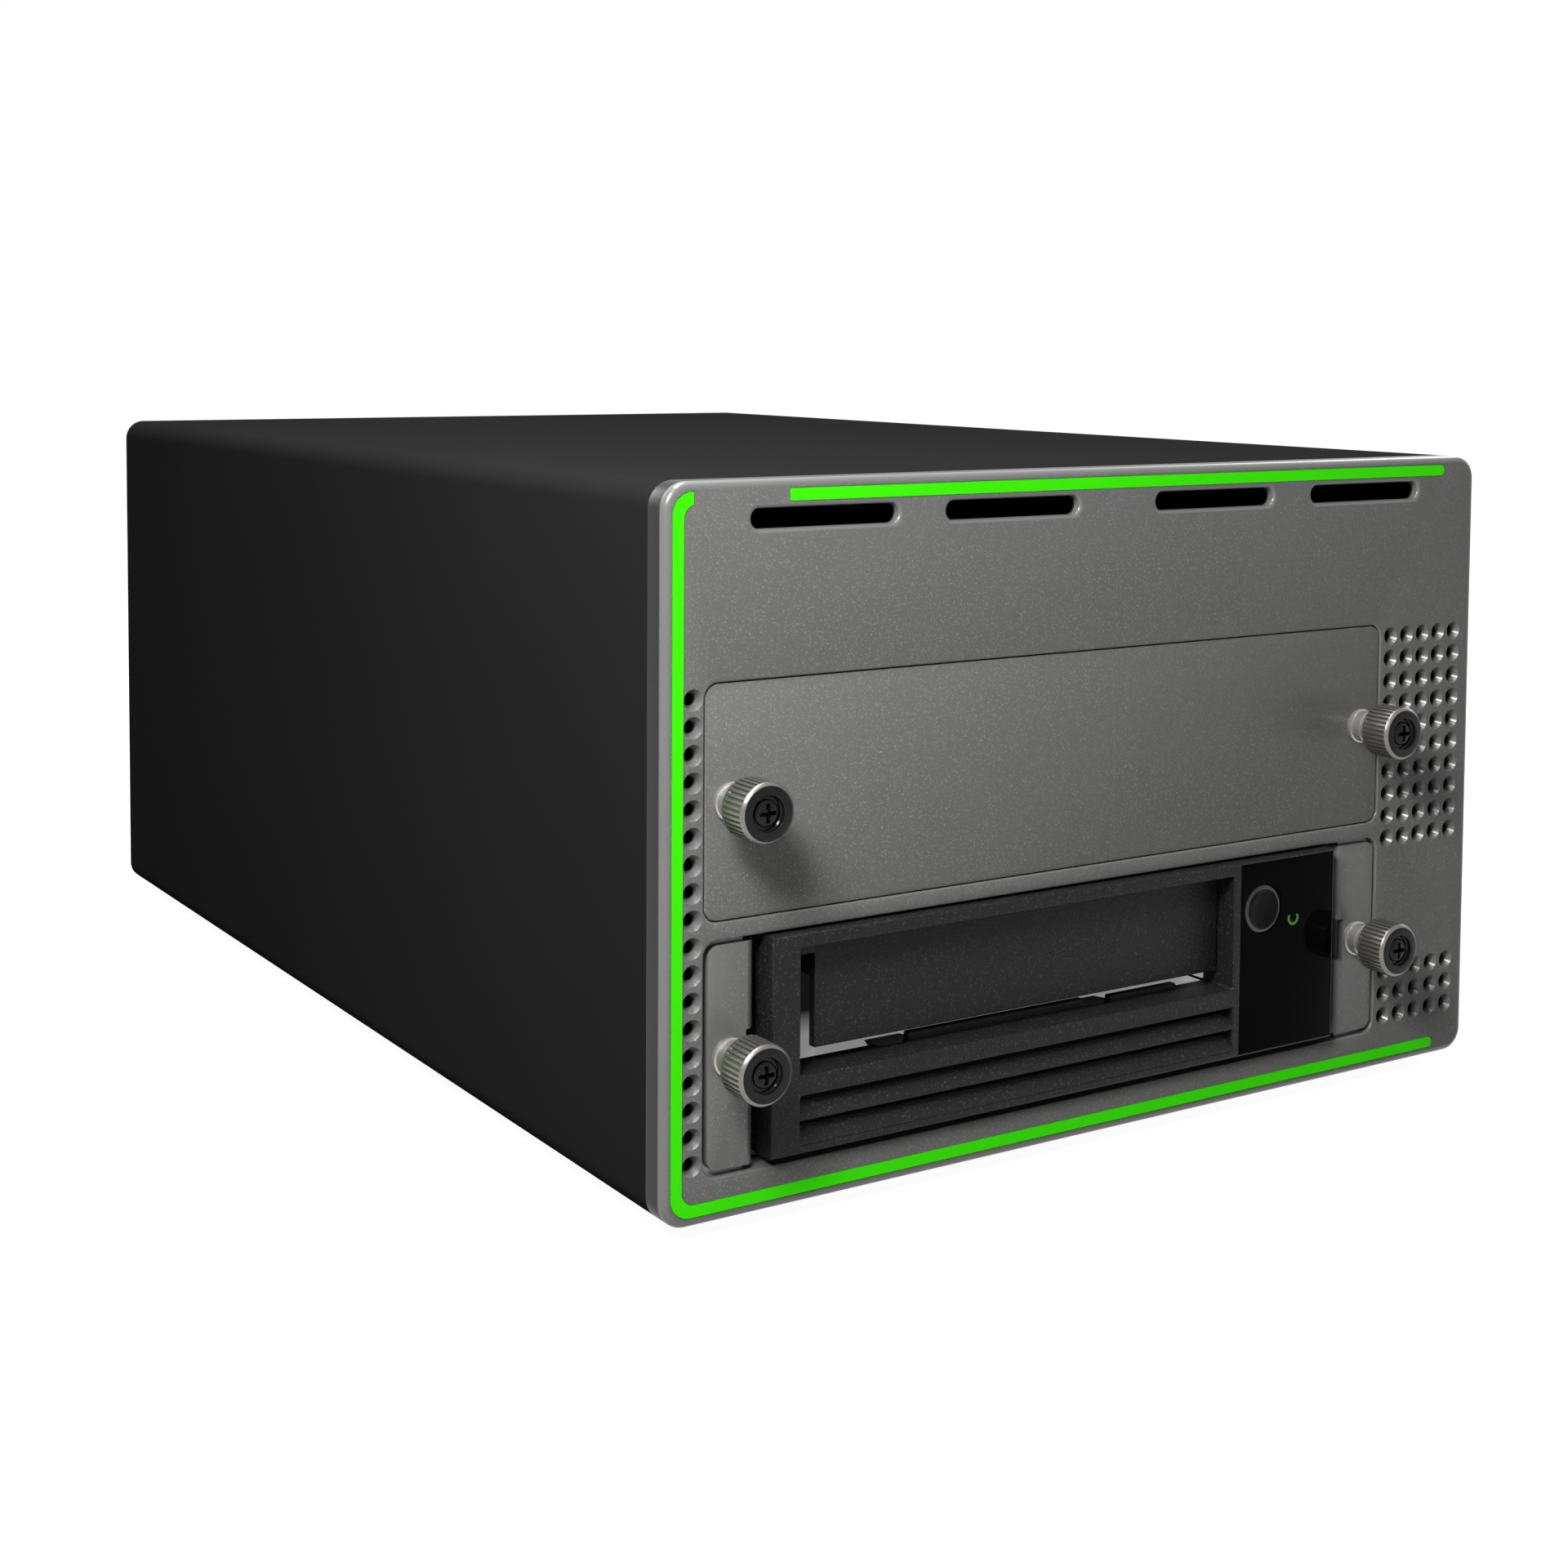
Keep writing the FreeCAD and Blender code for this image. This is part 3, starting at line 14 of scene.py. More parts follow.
import bmesh
import bpy
from mathutils import Matrix, Vector
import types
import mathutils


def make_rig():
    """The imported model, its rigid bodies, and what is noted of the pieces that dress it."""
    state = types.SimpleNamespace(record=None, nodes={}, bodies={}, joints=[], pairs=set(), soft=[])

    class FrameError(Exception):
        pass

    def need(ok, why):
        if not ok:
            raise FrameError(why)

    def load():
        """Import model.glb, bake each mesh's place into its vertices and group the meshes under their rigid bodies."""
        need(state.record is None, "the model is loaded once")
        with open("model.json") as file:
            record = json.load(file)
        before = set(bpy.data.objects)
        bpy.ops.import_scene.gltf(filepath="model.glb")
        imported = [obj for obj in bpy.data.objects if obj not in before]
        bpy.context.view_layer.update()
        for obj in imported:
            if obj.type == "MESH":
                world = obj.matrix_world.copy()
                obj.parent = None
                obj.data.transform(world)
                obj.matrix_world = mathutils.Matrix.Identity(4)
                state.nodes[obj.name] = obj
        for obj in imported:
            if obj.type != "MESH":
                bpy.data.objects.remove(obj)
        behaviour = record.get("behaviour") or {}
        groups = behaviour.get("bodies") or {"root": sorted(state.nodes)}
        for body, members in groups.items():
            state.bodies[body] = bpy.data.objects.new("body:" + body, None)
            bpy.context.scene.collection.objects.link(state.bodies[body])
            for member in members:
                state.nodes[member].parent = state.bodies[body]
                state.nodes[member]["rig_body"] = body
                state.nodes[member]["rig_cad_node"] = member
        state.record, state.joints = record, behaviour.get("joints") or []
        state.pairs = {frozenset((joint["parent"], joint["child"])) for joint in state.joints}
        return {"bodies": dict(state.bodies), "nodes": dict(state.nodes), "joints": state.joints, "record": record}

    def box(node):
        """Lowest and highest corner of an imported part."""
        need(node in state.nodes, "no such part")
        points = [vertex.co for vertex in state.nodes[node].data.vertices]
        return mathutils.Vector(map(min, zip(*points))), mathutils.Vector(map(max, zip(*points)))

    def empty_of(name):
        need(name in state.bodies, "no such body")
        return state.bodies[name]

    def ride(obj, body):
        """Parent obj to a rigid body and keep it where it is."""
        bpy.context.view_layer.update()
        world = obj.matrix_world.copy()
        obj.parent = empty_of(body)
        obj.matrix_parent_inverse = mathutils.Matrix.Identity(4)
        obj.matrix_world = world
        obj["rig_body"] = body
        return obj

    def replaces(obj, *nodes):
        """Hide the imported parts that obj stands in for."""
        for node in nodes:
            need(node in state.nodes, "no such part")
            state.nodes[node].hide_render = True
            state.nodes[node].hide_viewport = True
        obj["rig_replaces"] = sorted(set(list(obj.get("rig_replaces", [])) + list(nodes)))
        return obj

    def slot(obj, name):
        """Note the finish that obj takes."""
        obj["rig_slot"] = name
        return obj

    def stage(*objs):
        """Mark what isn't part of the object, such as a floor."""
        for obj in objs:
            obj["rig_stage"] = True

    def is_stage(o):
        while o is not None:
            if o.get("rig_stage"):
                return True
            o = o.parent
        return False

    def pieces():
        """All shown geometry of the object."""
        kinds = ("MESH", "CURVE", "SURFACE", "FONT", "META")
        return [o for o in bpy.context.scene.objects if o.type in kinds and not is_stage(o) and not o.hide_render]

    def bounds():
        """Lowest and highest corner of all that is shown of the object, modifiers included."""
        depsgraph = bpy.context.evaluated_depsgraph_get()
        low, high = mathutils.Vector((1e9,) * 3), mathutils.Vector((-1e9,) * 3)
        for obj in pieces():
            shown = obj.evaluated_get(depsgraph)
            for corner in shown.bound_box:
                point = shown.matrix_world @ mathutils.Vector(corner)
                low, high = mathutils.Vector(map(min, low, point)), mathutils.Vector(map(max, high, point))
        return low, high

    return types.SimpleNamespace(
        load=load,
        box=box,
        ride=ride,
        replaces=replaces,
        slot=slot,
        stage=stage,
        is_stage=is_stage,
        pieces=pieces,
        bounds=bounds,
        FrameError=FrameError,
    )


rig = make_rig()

Triple = tuple[float, float, float]
Profile = Sequence[tuple[float, float]]
EdgeTest = Callable[[Vector, Vector], bool]
FaceTest = Callable[[Vector, Vector], bool]

LOG = logging.getLogger("tape_drive")
MM = 0.001  # a millimetre, in metres
HAIR = 0.01  # how near, in millimetres, counts as the same place
MERGE = 0.0000005  # how near, in metres, points of a turned piece become one


class Axis(Enum):
    """An axis of the object, by its index in a vector."""

    X = 0
    Y = 1
    Z = 2

    def unit(self) -> Vector:
        """The axis as a unit vector."""
        return Vector([1.0 if i == self.value else 0.0 for i in range(3)])


@dataclass(frozen=True)
class Box:
    """Lowest and highest corner of something, in millimetres."""

    x0: float
    y0: float
    z0: float
    x1: float
    y1: float
    z1: float

    @classmethod
    def of(cls, node: str) -> "Box":
        """The box of a frame node.

        Args:
            node: the node's name.

        Returns:
            Its box at rest.
        """
        low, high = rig.box(node)
        return cls(*[v / MM for v in low], *[v / MM for v in high])

    @property
    def centre(self) -> Triple:
        """Middle of the box."""
        return ((self.x0 + self.x1) / 2, (self.y0 + self.y1) / 2, (self.z0 + self.z1) / 2)

    def inset(self, x: float = 0.0, y: float = 0.0, z: float = 0.0) -> "Box":
        """The box drawn in by an amount along each axis."""
        return Box(self.x0 + x, self.y0 + y, self.z0 + z, self.x1 - x, self.y1 - y, self.z1 - z)


def before(level: float) -> EdgeTest:
    """A test for edges at or in front of a Y level."""
    return lambda mid, run: mid.y < level + HAIR


def beyond(level: float) -> EdgeTest:
    """A test for edges at or behind a Y level."""
    return lambda mid, run: mid.y > level - HAIR


class Bench:
    """Modelling moves, as made by hand on one object at a time."""

    @staticmethod
    def only(*objs: bpy.types.Object) -> None:
        """Selects these objects alone and makes the first one active."""
        if bpy.context.object and bpy.context.object.mode != "OBJECT":
            bpy.ops.object.mode_set(mode="OBJECT")
        bpy.ops.object.select_all(action="DESELECT")
        for obj in objs:
            obj.select_set(True)
        if objs:
            bpy.context.view_layer.objects.active = objs[0]

    @staticmethod
    def settle(name: str) -> bpy.types.Object:
        """Names the active object and applies its place to its mesh.

        Args:
            name: the piece's name.

        Returns:
            The object, at the origin.
        """
        obj = bpy.context.object
        obj.name = name
        obj.data.name = name
        Bench.only(obj)
        bpy.ops.object.transform_apply(location=True, rotation=True, scale=True)
        return obj

    @staticmethod
    def block(name: str, box: Box) -> bpy.types.Object:
        """A cube primitive stretched to a box."""
        Bench.only()
        size = ((box.x1 - box.x0) * MM, (box.y1 - box.y0) * MM, (box.z1 - box.z0) * MM)
        at = [v * MM for v in box.centre]
        bpy.ops.mesh.primitive_cube_add(size=1.0, location=at, scale=size)
        return Bench.settle(name)

    @staticmethod
    def open_mesh(obj: bpy.types.Object, mode: str) -> bmesh.types.BMesh:
        """Enters edit mode with nothing selected, in a select mode."""
        Bench.only(obj)
        bpy.ops.object.mode_set(mode="EDIT")
        bpy.ops.mesh.select_mode(type=mode)
        bpy.ops.mesh.select_all(action="DESELECT")
        return bmesh.from_edit_mesh(obj.data)

    @staticmethod
    def pick_edges(obj: bpy.types.Object, test: EdgeTest) -> int:
        """Enters edit mode with the edges selected that pass a test.

        Args:
            obj: the object.
            test: takes an edge's middle in millimetres and its direction.

        Returns:
            How many edges are selected.
        """
        mesh = Bench.open_mesh(obj, "EDGE")
        count = 0
        for edge in mesh.edges:
            a, b = edge.verts[0].co, edge.verts[1].co
            if test((a + b) / (2 * MM), (b - a).normalized()):
                edge.select = True
                count += 1
        mesh.select_flush_mode()
        bmesh.update_edit_mesh(obj.data)
        return count

    @staticmethod
    def pick_faces(obj: bpy.types.Object, test: FaceTest) -> None:
        """Enters edit mode with the faces selected that pass a test of middle and normal."""
        mesh = Bench.open_mesh(obj, "FACE")
        for face in mesh.faces:
            if test(face.calc_center_median() / MM, face.normal):
                face.select = True
        mesh.select_flush_mode()
        bmesh.update_edit_mesh(obj.data)

    @staticmethod
    def done() -> None:
        """Leaves edit mode."""
        bpy.ops.object.mode_set(mode="OBJECT")

    @staticmethod
    def bevel(obj: bpy.types.Object, width: float, segments: int, test: EdgeTest) -> bpy.types.Object:
        """Bevels the edges that pass a test of middle and direction."""
        if Bench.pick_edges(obj, test):
            bpy.ops.mesh.bevel(offset=width * MM, segments=segments, profile=0.5, affect="EDGES")
        Bench.done()
        return obj

    @staticmethod
    def split(obj: bpy.types.Object, cuts: int, test: EdgeTest) -> None:
        """Subdivides the edges that pass a test."""
        Bench.pick_edges(obj, test)
        bpy.ops.mesh.subdivide(number_cuts=cuts)
        Bench.done()

    @staticmethod
    def shift(obj: bpy.types.Object, step: Triple, test: EdgeTest) -> None:
        """Moves the edges that pass a test."""
        Bench.pick_edges(obj, test)
        bpy.ops.transform.translate(value=[v * MM for v in step])
        Bench.done()

    @staticmethod
    def round_edges(obj: bpy.types.Object, axis: Axis, radius: float, segments: int = 6,
                    where: Optional[Callable[[Vector], bool]] = None) -> bpy.types.Object:
        """Rounds the edges that run along an axis.

        Args:
            obj: the object.
            axis: the edges' direction.
            radius: the rounding.
            segments: how many faces make the rounding.
            where: takes an edge's middle and says whether it is rounded.

        Returns:
            The object.
        """
        return Bench.bevel(obj, radius, segments, lambda mid, run: abs(run[axis.value]) > 0.9999 and
                           (where is None or where(mid)))

    @staticmethod
    def bar(name: str, box: Box, axis: Axis, radius: float, segments: int = 6) -> bpy.types.Object:
        """A block whose four edges along an axis are rounded."""
        obj = Bench.block(name, box)
        return Bench.round_edges(obj, axis, radius, segments) if radius > 0 else obj

    @staticmethod
    def push(step: Triple, scale: Triple = (1.0, 1.0, 1.0), about: Triple = (0.0, 0.0, 0.0)) -> None:
        """Extrudes what is selected by a step, then scales it about a point."""
        bpy.ops.mesh.extrude_region_move(TRANSFORM_OT_translate={"value": [v * MM for v in step]})
        if scale != (1.0, 1.0, 1.0):
            bpy.ops.transform.resize(value=scale, center_override=[v * MM for v in about])

    @staticmethod
    def mouth_cutter(name: str, box: Box, radius: float, flare: float, steps: int = 3) -> bpy.types.Object:
        """A cutter through a front face at box.y0 that leaves a rounded edge round the opening.

        Args:
            name: the cutter's name.
            box: the opening, from the front face backwards.
            radius: the opening's corner radius.
            flare: the size of the rounded edge.
            steps: how many faces make the rounded edge.

        Returns:
            The cutter.
        """
        body = Box(box.x0, box.y0 + flare, box.z0, box.x1, box.y1, box.z1)
        obj = Bench.bar(name, body, Axis.Y, radius, 8)
        Bench.pick_faces(obj, lambda mid, normal: normal.y < -0.99)
        wide, tall = box.x1 - box.x0, box.z1 - box.z0
        grown, sunk = 0.0, flare
        for k in range(1, steps + 1):
            turn = math.pi / 2 * k / steps
            depth, grow = flare * (1 - math.sin(turn)), flare * (1 - math.cos(turn))
            scale = ((wide + 2 * grow) / (wide + 2 * grown), 1.0, (tall + 2 * grow) / (tall + 2 * grown))
            Bench.push((0.0, depth - sunk, 0.0), scale, box.centre)
            grown, sunk = grow, depth
        Bench.push((0.0, -1.0, 0.0))
        Bench.done()
        return obj

    @staticmethod
    def turned(name: str, axis: Axis, at: Triple, profile: Profile, sides: int = 48,
               ring: bool = False) -> bpy.types.Object:
        """A turned piece, made by extruding a circle along its axis.

        Args:
            name: the piece's name.
            axis: the turning axis.
            at: a point of the axis. The profile's places count from it.
            profile: (place along the axis, radius) points, first to last.
            sides: how many sides the circle has.
            ring: whether the profile closes on itself and leaves a bore.

        Returns:
            The piece.
        """
        Bench.only()
        along = axis.unit()
        place, radius = profile[0]
        spin = {Axis.X: (0.0, math.pi / 2, 0.0), Axis.Y: (math.pi / 2, 0.0, 0.0), Axis.Z: (0.0, 0.0, 0.0)}
        bpy.ops.mesh.primitive_circle_add(
            vertices=sides, radius=radius * MM, fill_type="NOTHING" if ring else "NGON",
            location=(Vector(at) + along * place) * MM, rotation=spin[axis])
        obj = Bench.settle(name)
        bpy.ops.object.mode_set(mode="EDIT")
        bpy.ops.mesh.select_mode(type="EDGE" if ring else "FACE")
        bpy.ops.mesh.select_all(action="SELECT")
        points = list(profile[1:]) + ([profile[0]] if ring else [])
        for next_place, next_radius in points:
            share = next_radius / radius
            scale = tuple(1.0 if i == axis.value else share for i in range(3))
            Bench.push(tuple(along * (next_place - place)), scale, tuple(Vector(at) + along * next_place))
            place, radius = next_place, next_radius
        bpy.ops.mesh.select_all(action="SELECT")
        bpy.ops.mesh.remove_doubles(threshold=MERGE)
        bpy.ops.mesh.normals_make_consistent(inside=False)
        Bench.done()
        return obj

    @staticmethod
    def apply(obj: bpy.types.Object, kind: str, **settings: Any) -> bpy.types.Object:
        """Adds a modifier with its settings and applies it."""
        Bench.only(obj)
        modifier = obj.modifiers.new(kind.lower(), kind)
        for key, value in settings.items():
            setattr(modifier, key, value)
        bpy.ops.object.modifier_apply(modifier=modifier.name)
        return obj

    @staticmethod
    def boolean(obj: bpy.types.Object, others: Iterable[bpy.types.Object], how: str) -> bpy.types.Object:
        """Cuts other objects out of one, or joins them to it, and removes them."""
        for other in others:
            Bench.apply(obj, "BOOLEAN", object=other, operation=how, solver="EXACT")
            mesh = other.data
            bpy.data.objects.remove(other, do_unlink=True)
            bpy.data.meshes.remove(mesh)
        return obj

    @staticmethod
    def carve(obj: bpy.types.Object, *others: bpy.types.Object) -> bpy.types.Object:
        """Cuts the others out of the object."""
        return Bench.boolean(obj, others, "DIFFERENCE")

    @staticmethod
    def weld(obj: bpy.types.Object, *others: bpy.types.Object) -> bpy.types.Object:
        """Joins the others to the object as one solid."""
        return Bench.boolean(obj, others, "UNION")

    @staticmethod
    def gather(name: str, objs: Sequence[bpy.types.Object]) -> bpy.types.Object:
        """Puts separate solids into one object."""
        Bench.only(*objs)
        if len(objs) > 1:
            bpy.ops.object.join()
        obj = bpy.context.object
        obj.name = name
        obj.data.name = name
        return obj

    @staticmethod
    def copy(obj: bpy.types.Object, name: str, step: Triple) -> bpy.types.Object:
        """A copy with its own mesh, moved by a step."""
        Bench.only(obj)
        bpy.ops.object.duplicate(linked=False)
        twin = bpy.context.object
        twin.location = Vector(step) * MM
        return Bench.settle(name)

    @staticmethod
    def soften(obj: bpy.types.Object, width: float, segments: int = 2,
               angle: float = 40.0) -> bpy.types.Object:
        """Breaks all sharp edges."""
        return Bench.apply(obj, "BEVEL", width=width * MM, segments=segments, limit_method="ANGLE",
                           angle_limit=math.radians(angle), use_clamp_overlap=True)

    @staticmethod
    def smooth(obj: bpy.types.Object, angle: float = 32.0) -> bpy.types.Object:
        """Smooth shading where faces meet at less than an angle."""
        Bench.only(obj)
        bpy.ops.object.shade_smooth_by_angle(angle=math.radians(angle))
        return obj


# ------------------------------------------------------------------------------------- finishes
class Socket:
    """An output of a shader graph that takes part in arithmetic."""

    def __init__(self, graph: "Graph", link: Any) -> None:
        """Keeps the graph and the output."""
        self.graph = graph
        self.link = link

    def _math(self, kind: str, a: Any, b: Any, clamp: bool = False) -> "Socket":
        """A Math node on two values."""
        return self.graph.node("ShaderNodeMath", {"operation": kind, "use_clamp": clamp}, [a, b])

    def __add__(self, other: Any) -> "Socket":
        """Sum."""
        return self._math("ADD", self, other)

    __radd__ = __add__

    def __sub__(self, other: Any) -> "Socket":
        """Difference."""
        return self._math("SUBTRACT", self, other)

    def __rsub__(self, other: Any) -> "Socket":
        """Reflected difference."""
        return self._math("SUBTRACT", other, self)

    def __mul__(self, other: Any) -> "Socket":
        """Product."""
        return self._math("MULTIPLY", self, other)

    __rmul__ = __mul__

    def clamp(self) -> "Socket":
        """The value held between 0 and 1."""
        return self._math("ADD", self, 0.0, clamp=True)

    def above(self, level: float, width: float) -> "Socket":
        """0 below a level, rising to 1 over a width."""
        return ((self - level) * (1.0 / width)).clamp()


class Graph:
    """The node tree of a material or a world."""

    def __init__(self, holder: Union[bpy.types.Material, bpy.types.World]) -> None:
        """Empties the holder's tree."""
        holder.use_nodes = True
        self.holder = holder
        self.tree = holder.node_tree
        self.tree.nodes.clear()

    def node(self, kind: str, settings: dict[str, Any], values: Union[dict[str, Any], Sequence[Any]],
             output: Union[int, str] = 0) -> Socket:
        """Adds a node.

        Args:
            kind: the node's type.
            settings: attributes that are set first.
            values: what its inputs take, by name or in order. A Socket is linked.
            output: which output is returned.

        Returns:
            The output.
        """
        made = self.tree.nodes.new(kind)
        for key, value in settings.items():
            setattr(made, key, value)
        items = values.items() if isinstance(values, dict) else enumerate(values)
        for key, value in items:
            if isinstance(value, Socket):
                self.tree.links.new(value.link, made.inputs[key])
            elif value is not None:
                made.inputs[key].default_value = value
        return Socket(self, made.outputs[output])

    def place(self, stretch: Triple = (1.0, 1.0, 1.0)) -> Socket:
        """Object coordinates, scaled along each axis."""
        coords = self.node("ShaderNodeTexCoord", {}, {}, "Object")
        return self.node("ShaderNodeMapping", {}, {"Vector": coords, "Scale": stretch})

    def noise(self, place: Socket, size: float, detail: float = 2.0, seed: float = 0.0) -> Socket:
        """Noise whose features are about a size in millimetres across."""
        return self.node("ShaderNodeTexNoise", {"noise_dimensions": "4D"},
                         {"Vector": place, "W": seed, "Scale": 1.0 / (size * MM), "Detail": detail}, "Fac")

    def cells(self, place: Socket, size: float) -> Socket:
        """A random number for each small cell."""
        made = self.node("ShaderNodeTexVoronoi", {"feature": "F1"},
                         {"Vector": place, "Scale": 1.0 / (size * MM)}, "Color")
        return self.node("ShaderNodeSeparateColor", {}, [made], 0)

    def mix(self, share: Any, a: Any, b: Any) -> Socket:
        """A colour between two colours."""
        made = self.tree.nodes.new("ShaderNodeMix")
        made.data_type = "RGBA"
        for index, value in ((0, share), (6, a), (7, b)):
            if isinstance(value, Socket):
                self.tree.links.new(value.link, made.inputs[index])
            else:
                made.inputs[index].default_value = value
        return Socket(self, made.outputs[2])

    def bump(self, height: Socket, rise: float) -> Socket:
        """A normal from a height map that rises by an amount in millimetres."""
        return self.node("ShaderNodeBump", {}, {"Strength": 1.0, "Distance": rise * MM, "Height": height})

    def close(self, shader: Socket, kind: str = "ShaderNodeOutputMaterial") -> Any:
        """Ends the tree at its output and gives back its holder."""
        out = self.tree.nodes.new(kind)
        self.tree.links.new(shader.link, out.inputs["Surface"])
        return self.holder


def shade(colour: Triple, factor: float) -> tuple[float, float, float, float]:
    """A colour made lighter or darker, with alpha."""
    return (min(colour[0] * factor, 1.0), min(colour[1] * factor, 1.0), min(colour[2] * factor, 1.0), 1.0)


@dataclass(frozen=True)
class Finish:
    """A finish with a slow tone change, a fine grain and bright or dark flecks, and where asked an emitted glow and
    painted shade on faces set back from the bezel's front.
    """

    name: str
    colour: Triple
    roughness: float = 0.5
    metallic: float = 0.0
    mottle: float = 0.08
    mottle_size: float = 14.0
    grain: float = 0.0
    grain_size: float = 0.5
    grain_tone: float = 0.0
    fleck: float = 0.0
    fleck_size: float = 0.35
    fleck_colour: Triple = (0.5, 0.5, 0.5)
    fleck_shine: float = 0.0
    spread: float = 0.06
    stretch: Triple = (1.0, 1.0, 1.0)
    specular: float = 0.5
    # glow is emitted light: a real glow for the status light, and painted light on parts that are no lamp. The three
    # fields below paint shade: a dark colour on faces more than rim mm behind the bezel's front, blended in over a
    # soft width.
    glow: float = 0.0
    rim: float = 0.0
    painted_shade_colour: Triple = (0.0, 0.0, 0.0)
    painted_shade_soft: float = 0.4

    def make(self) -> bpy.types.Material:
        """Builds the material.

        Returns:
            The material.
        """
        graph = Graph(bpy.data.materials.new(self.name))
        place = graph.place(self.stretch)
        slow = graph.noise(place, self.mottle_size, 3.0)
        fine = graph.noise(place, self.grain_size, 2.0, 3.0)
        tone = (slow + (fine - 0.5) * self.grain_tone).clamp() if self.grain_tone else slow
        colour = graph.mix(tone, shade(self.colour, 1 - self.mottle), shade(self.colour, 1 + self.mottle))
        rough = (slow - 0.5) * (2 * self.spread) + (fine - 0.5) * self.spread + self.roughness
        metal: Any = self.metallic
        if self.fleck:
            spots = graph.cells(place, self.fleck_size).above(1 - self.fleck, 0.04)
            colour = graph.mix(spots, colour, shade(self.fleck_colour, 1.0))
            rough = rough - spots * (0.25 * self.roughness)
            if self.fleck_shine:
                metal = spots * self.fleck_shine + self.metallic
        # Painted shade: the colour turns dark on faces further back than the bezel's front plus rim.
        if self.rim:
            coords = graph.node("ShaderNodeTexCoord", {}, {}, "Object")
            depth = graph.node("ShaderNodeSeparateXYZ", {}, [coords], "Y")
            behind = depth.above(Box.of("front_bezel").y0 * MM + self.rim * MM, self.painted_shade_soft * MM)
            colour = graph.mix(behind, colour, graph.mix(tone, shade(self.painted_shade_colour, 0.9),
                                                         shade(self.painted_shade_colour, 1.1)))
        values: dict[str, Any] = {
            "Base Color": colour, "Roughness": rough.clamp(), "Metallic": metal,
            "Specular IOR Level": self.specular}
        if self.grain:
            values["Normal"] = graph.bump(fine, self.grain)
        # Emission: the status light's real glow, and painted light on the stripe and the inner sheet.
        if self.glow:
            values["Emission Color"] = colour
            values["Emission Strength"] = self.glow
        return graph.close(graph.node("ShaderNodeBsdfPrincipled", {}, values))


@dataclass(frozen=True)
class BoardFinish:
    """A circuit board: solder mask over copper tracks, with bright pads."""

    name: str
    colour: Triple
    track_size: float = 2.2

    def make(self) -> bpy.types.Material:
        """Builds the material."""
        graph = Graph(bpy.data.materials.new(self.name))
        place = graph.place()
        bricks = graph.node("ShaderNodeTexBrick", {"offset": 0.5}, {
            "Vector": place, "Scale": 1.0 / (self.track_size * 4 * MM), "Mortar Size": 0.03,
            "Mortar Smooth": 0.2, "Brick Width": 0.9, "Row Height": 0.22}, "Fac")
        slow = graph.noise(place, 6.0, 2.0)
        pads = graph.cells(place, 1.6).above(0.93, 0.02)
        colour = graph.mix(bricks, shade(self.colour, 1.0), shade(self.colour, 1.7))
        colour = graph.mix(slow.above(0.55, 0.2) * 0.5, colour, shade(self.colour, 0.6))
        colour = graph.mix(pads, colour, (0.6, 0.56, 0.42, 1.0))
        return graph.close(graph.node("ShaderNodeBsdfPrincipled", {}, {
            "Base Color": colour, "Roughness": 0.42 - pads * 0.12, "Metallic": pads * 0.8,
            "Normal": graph.bump(bricks, 0.05)}))
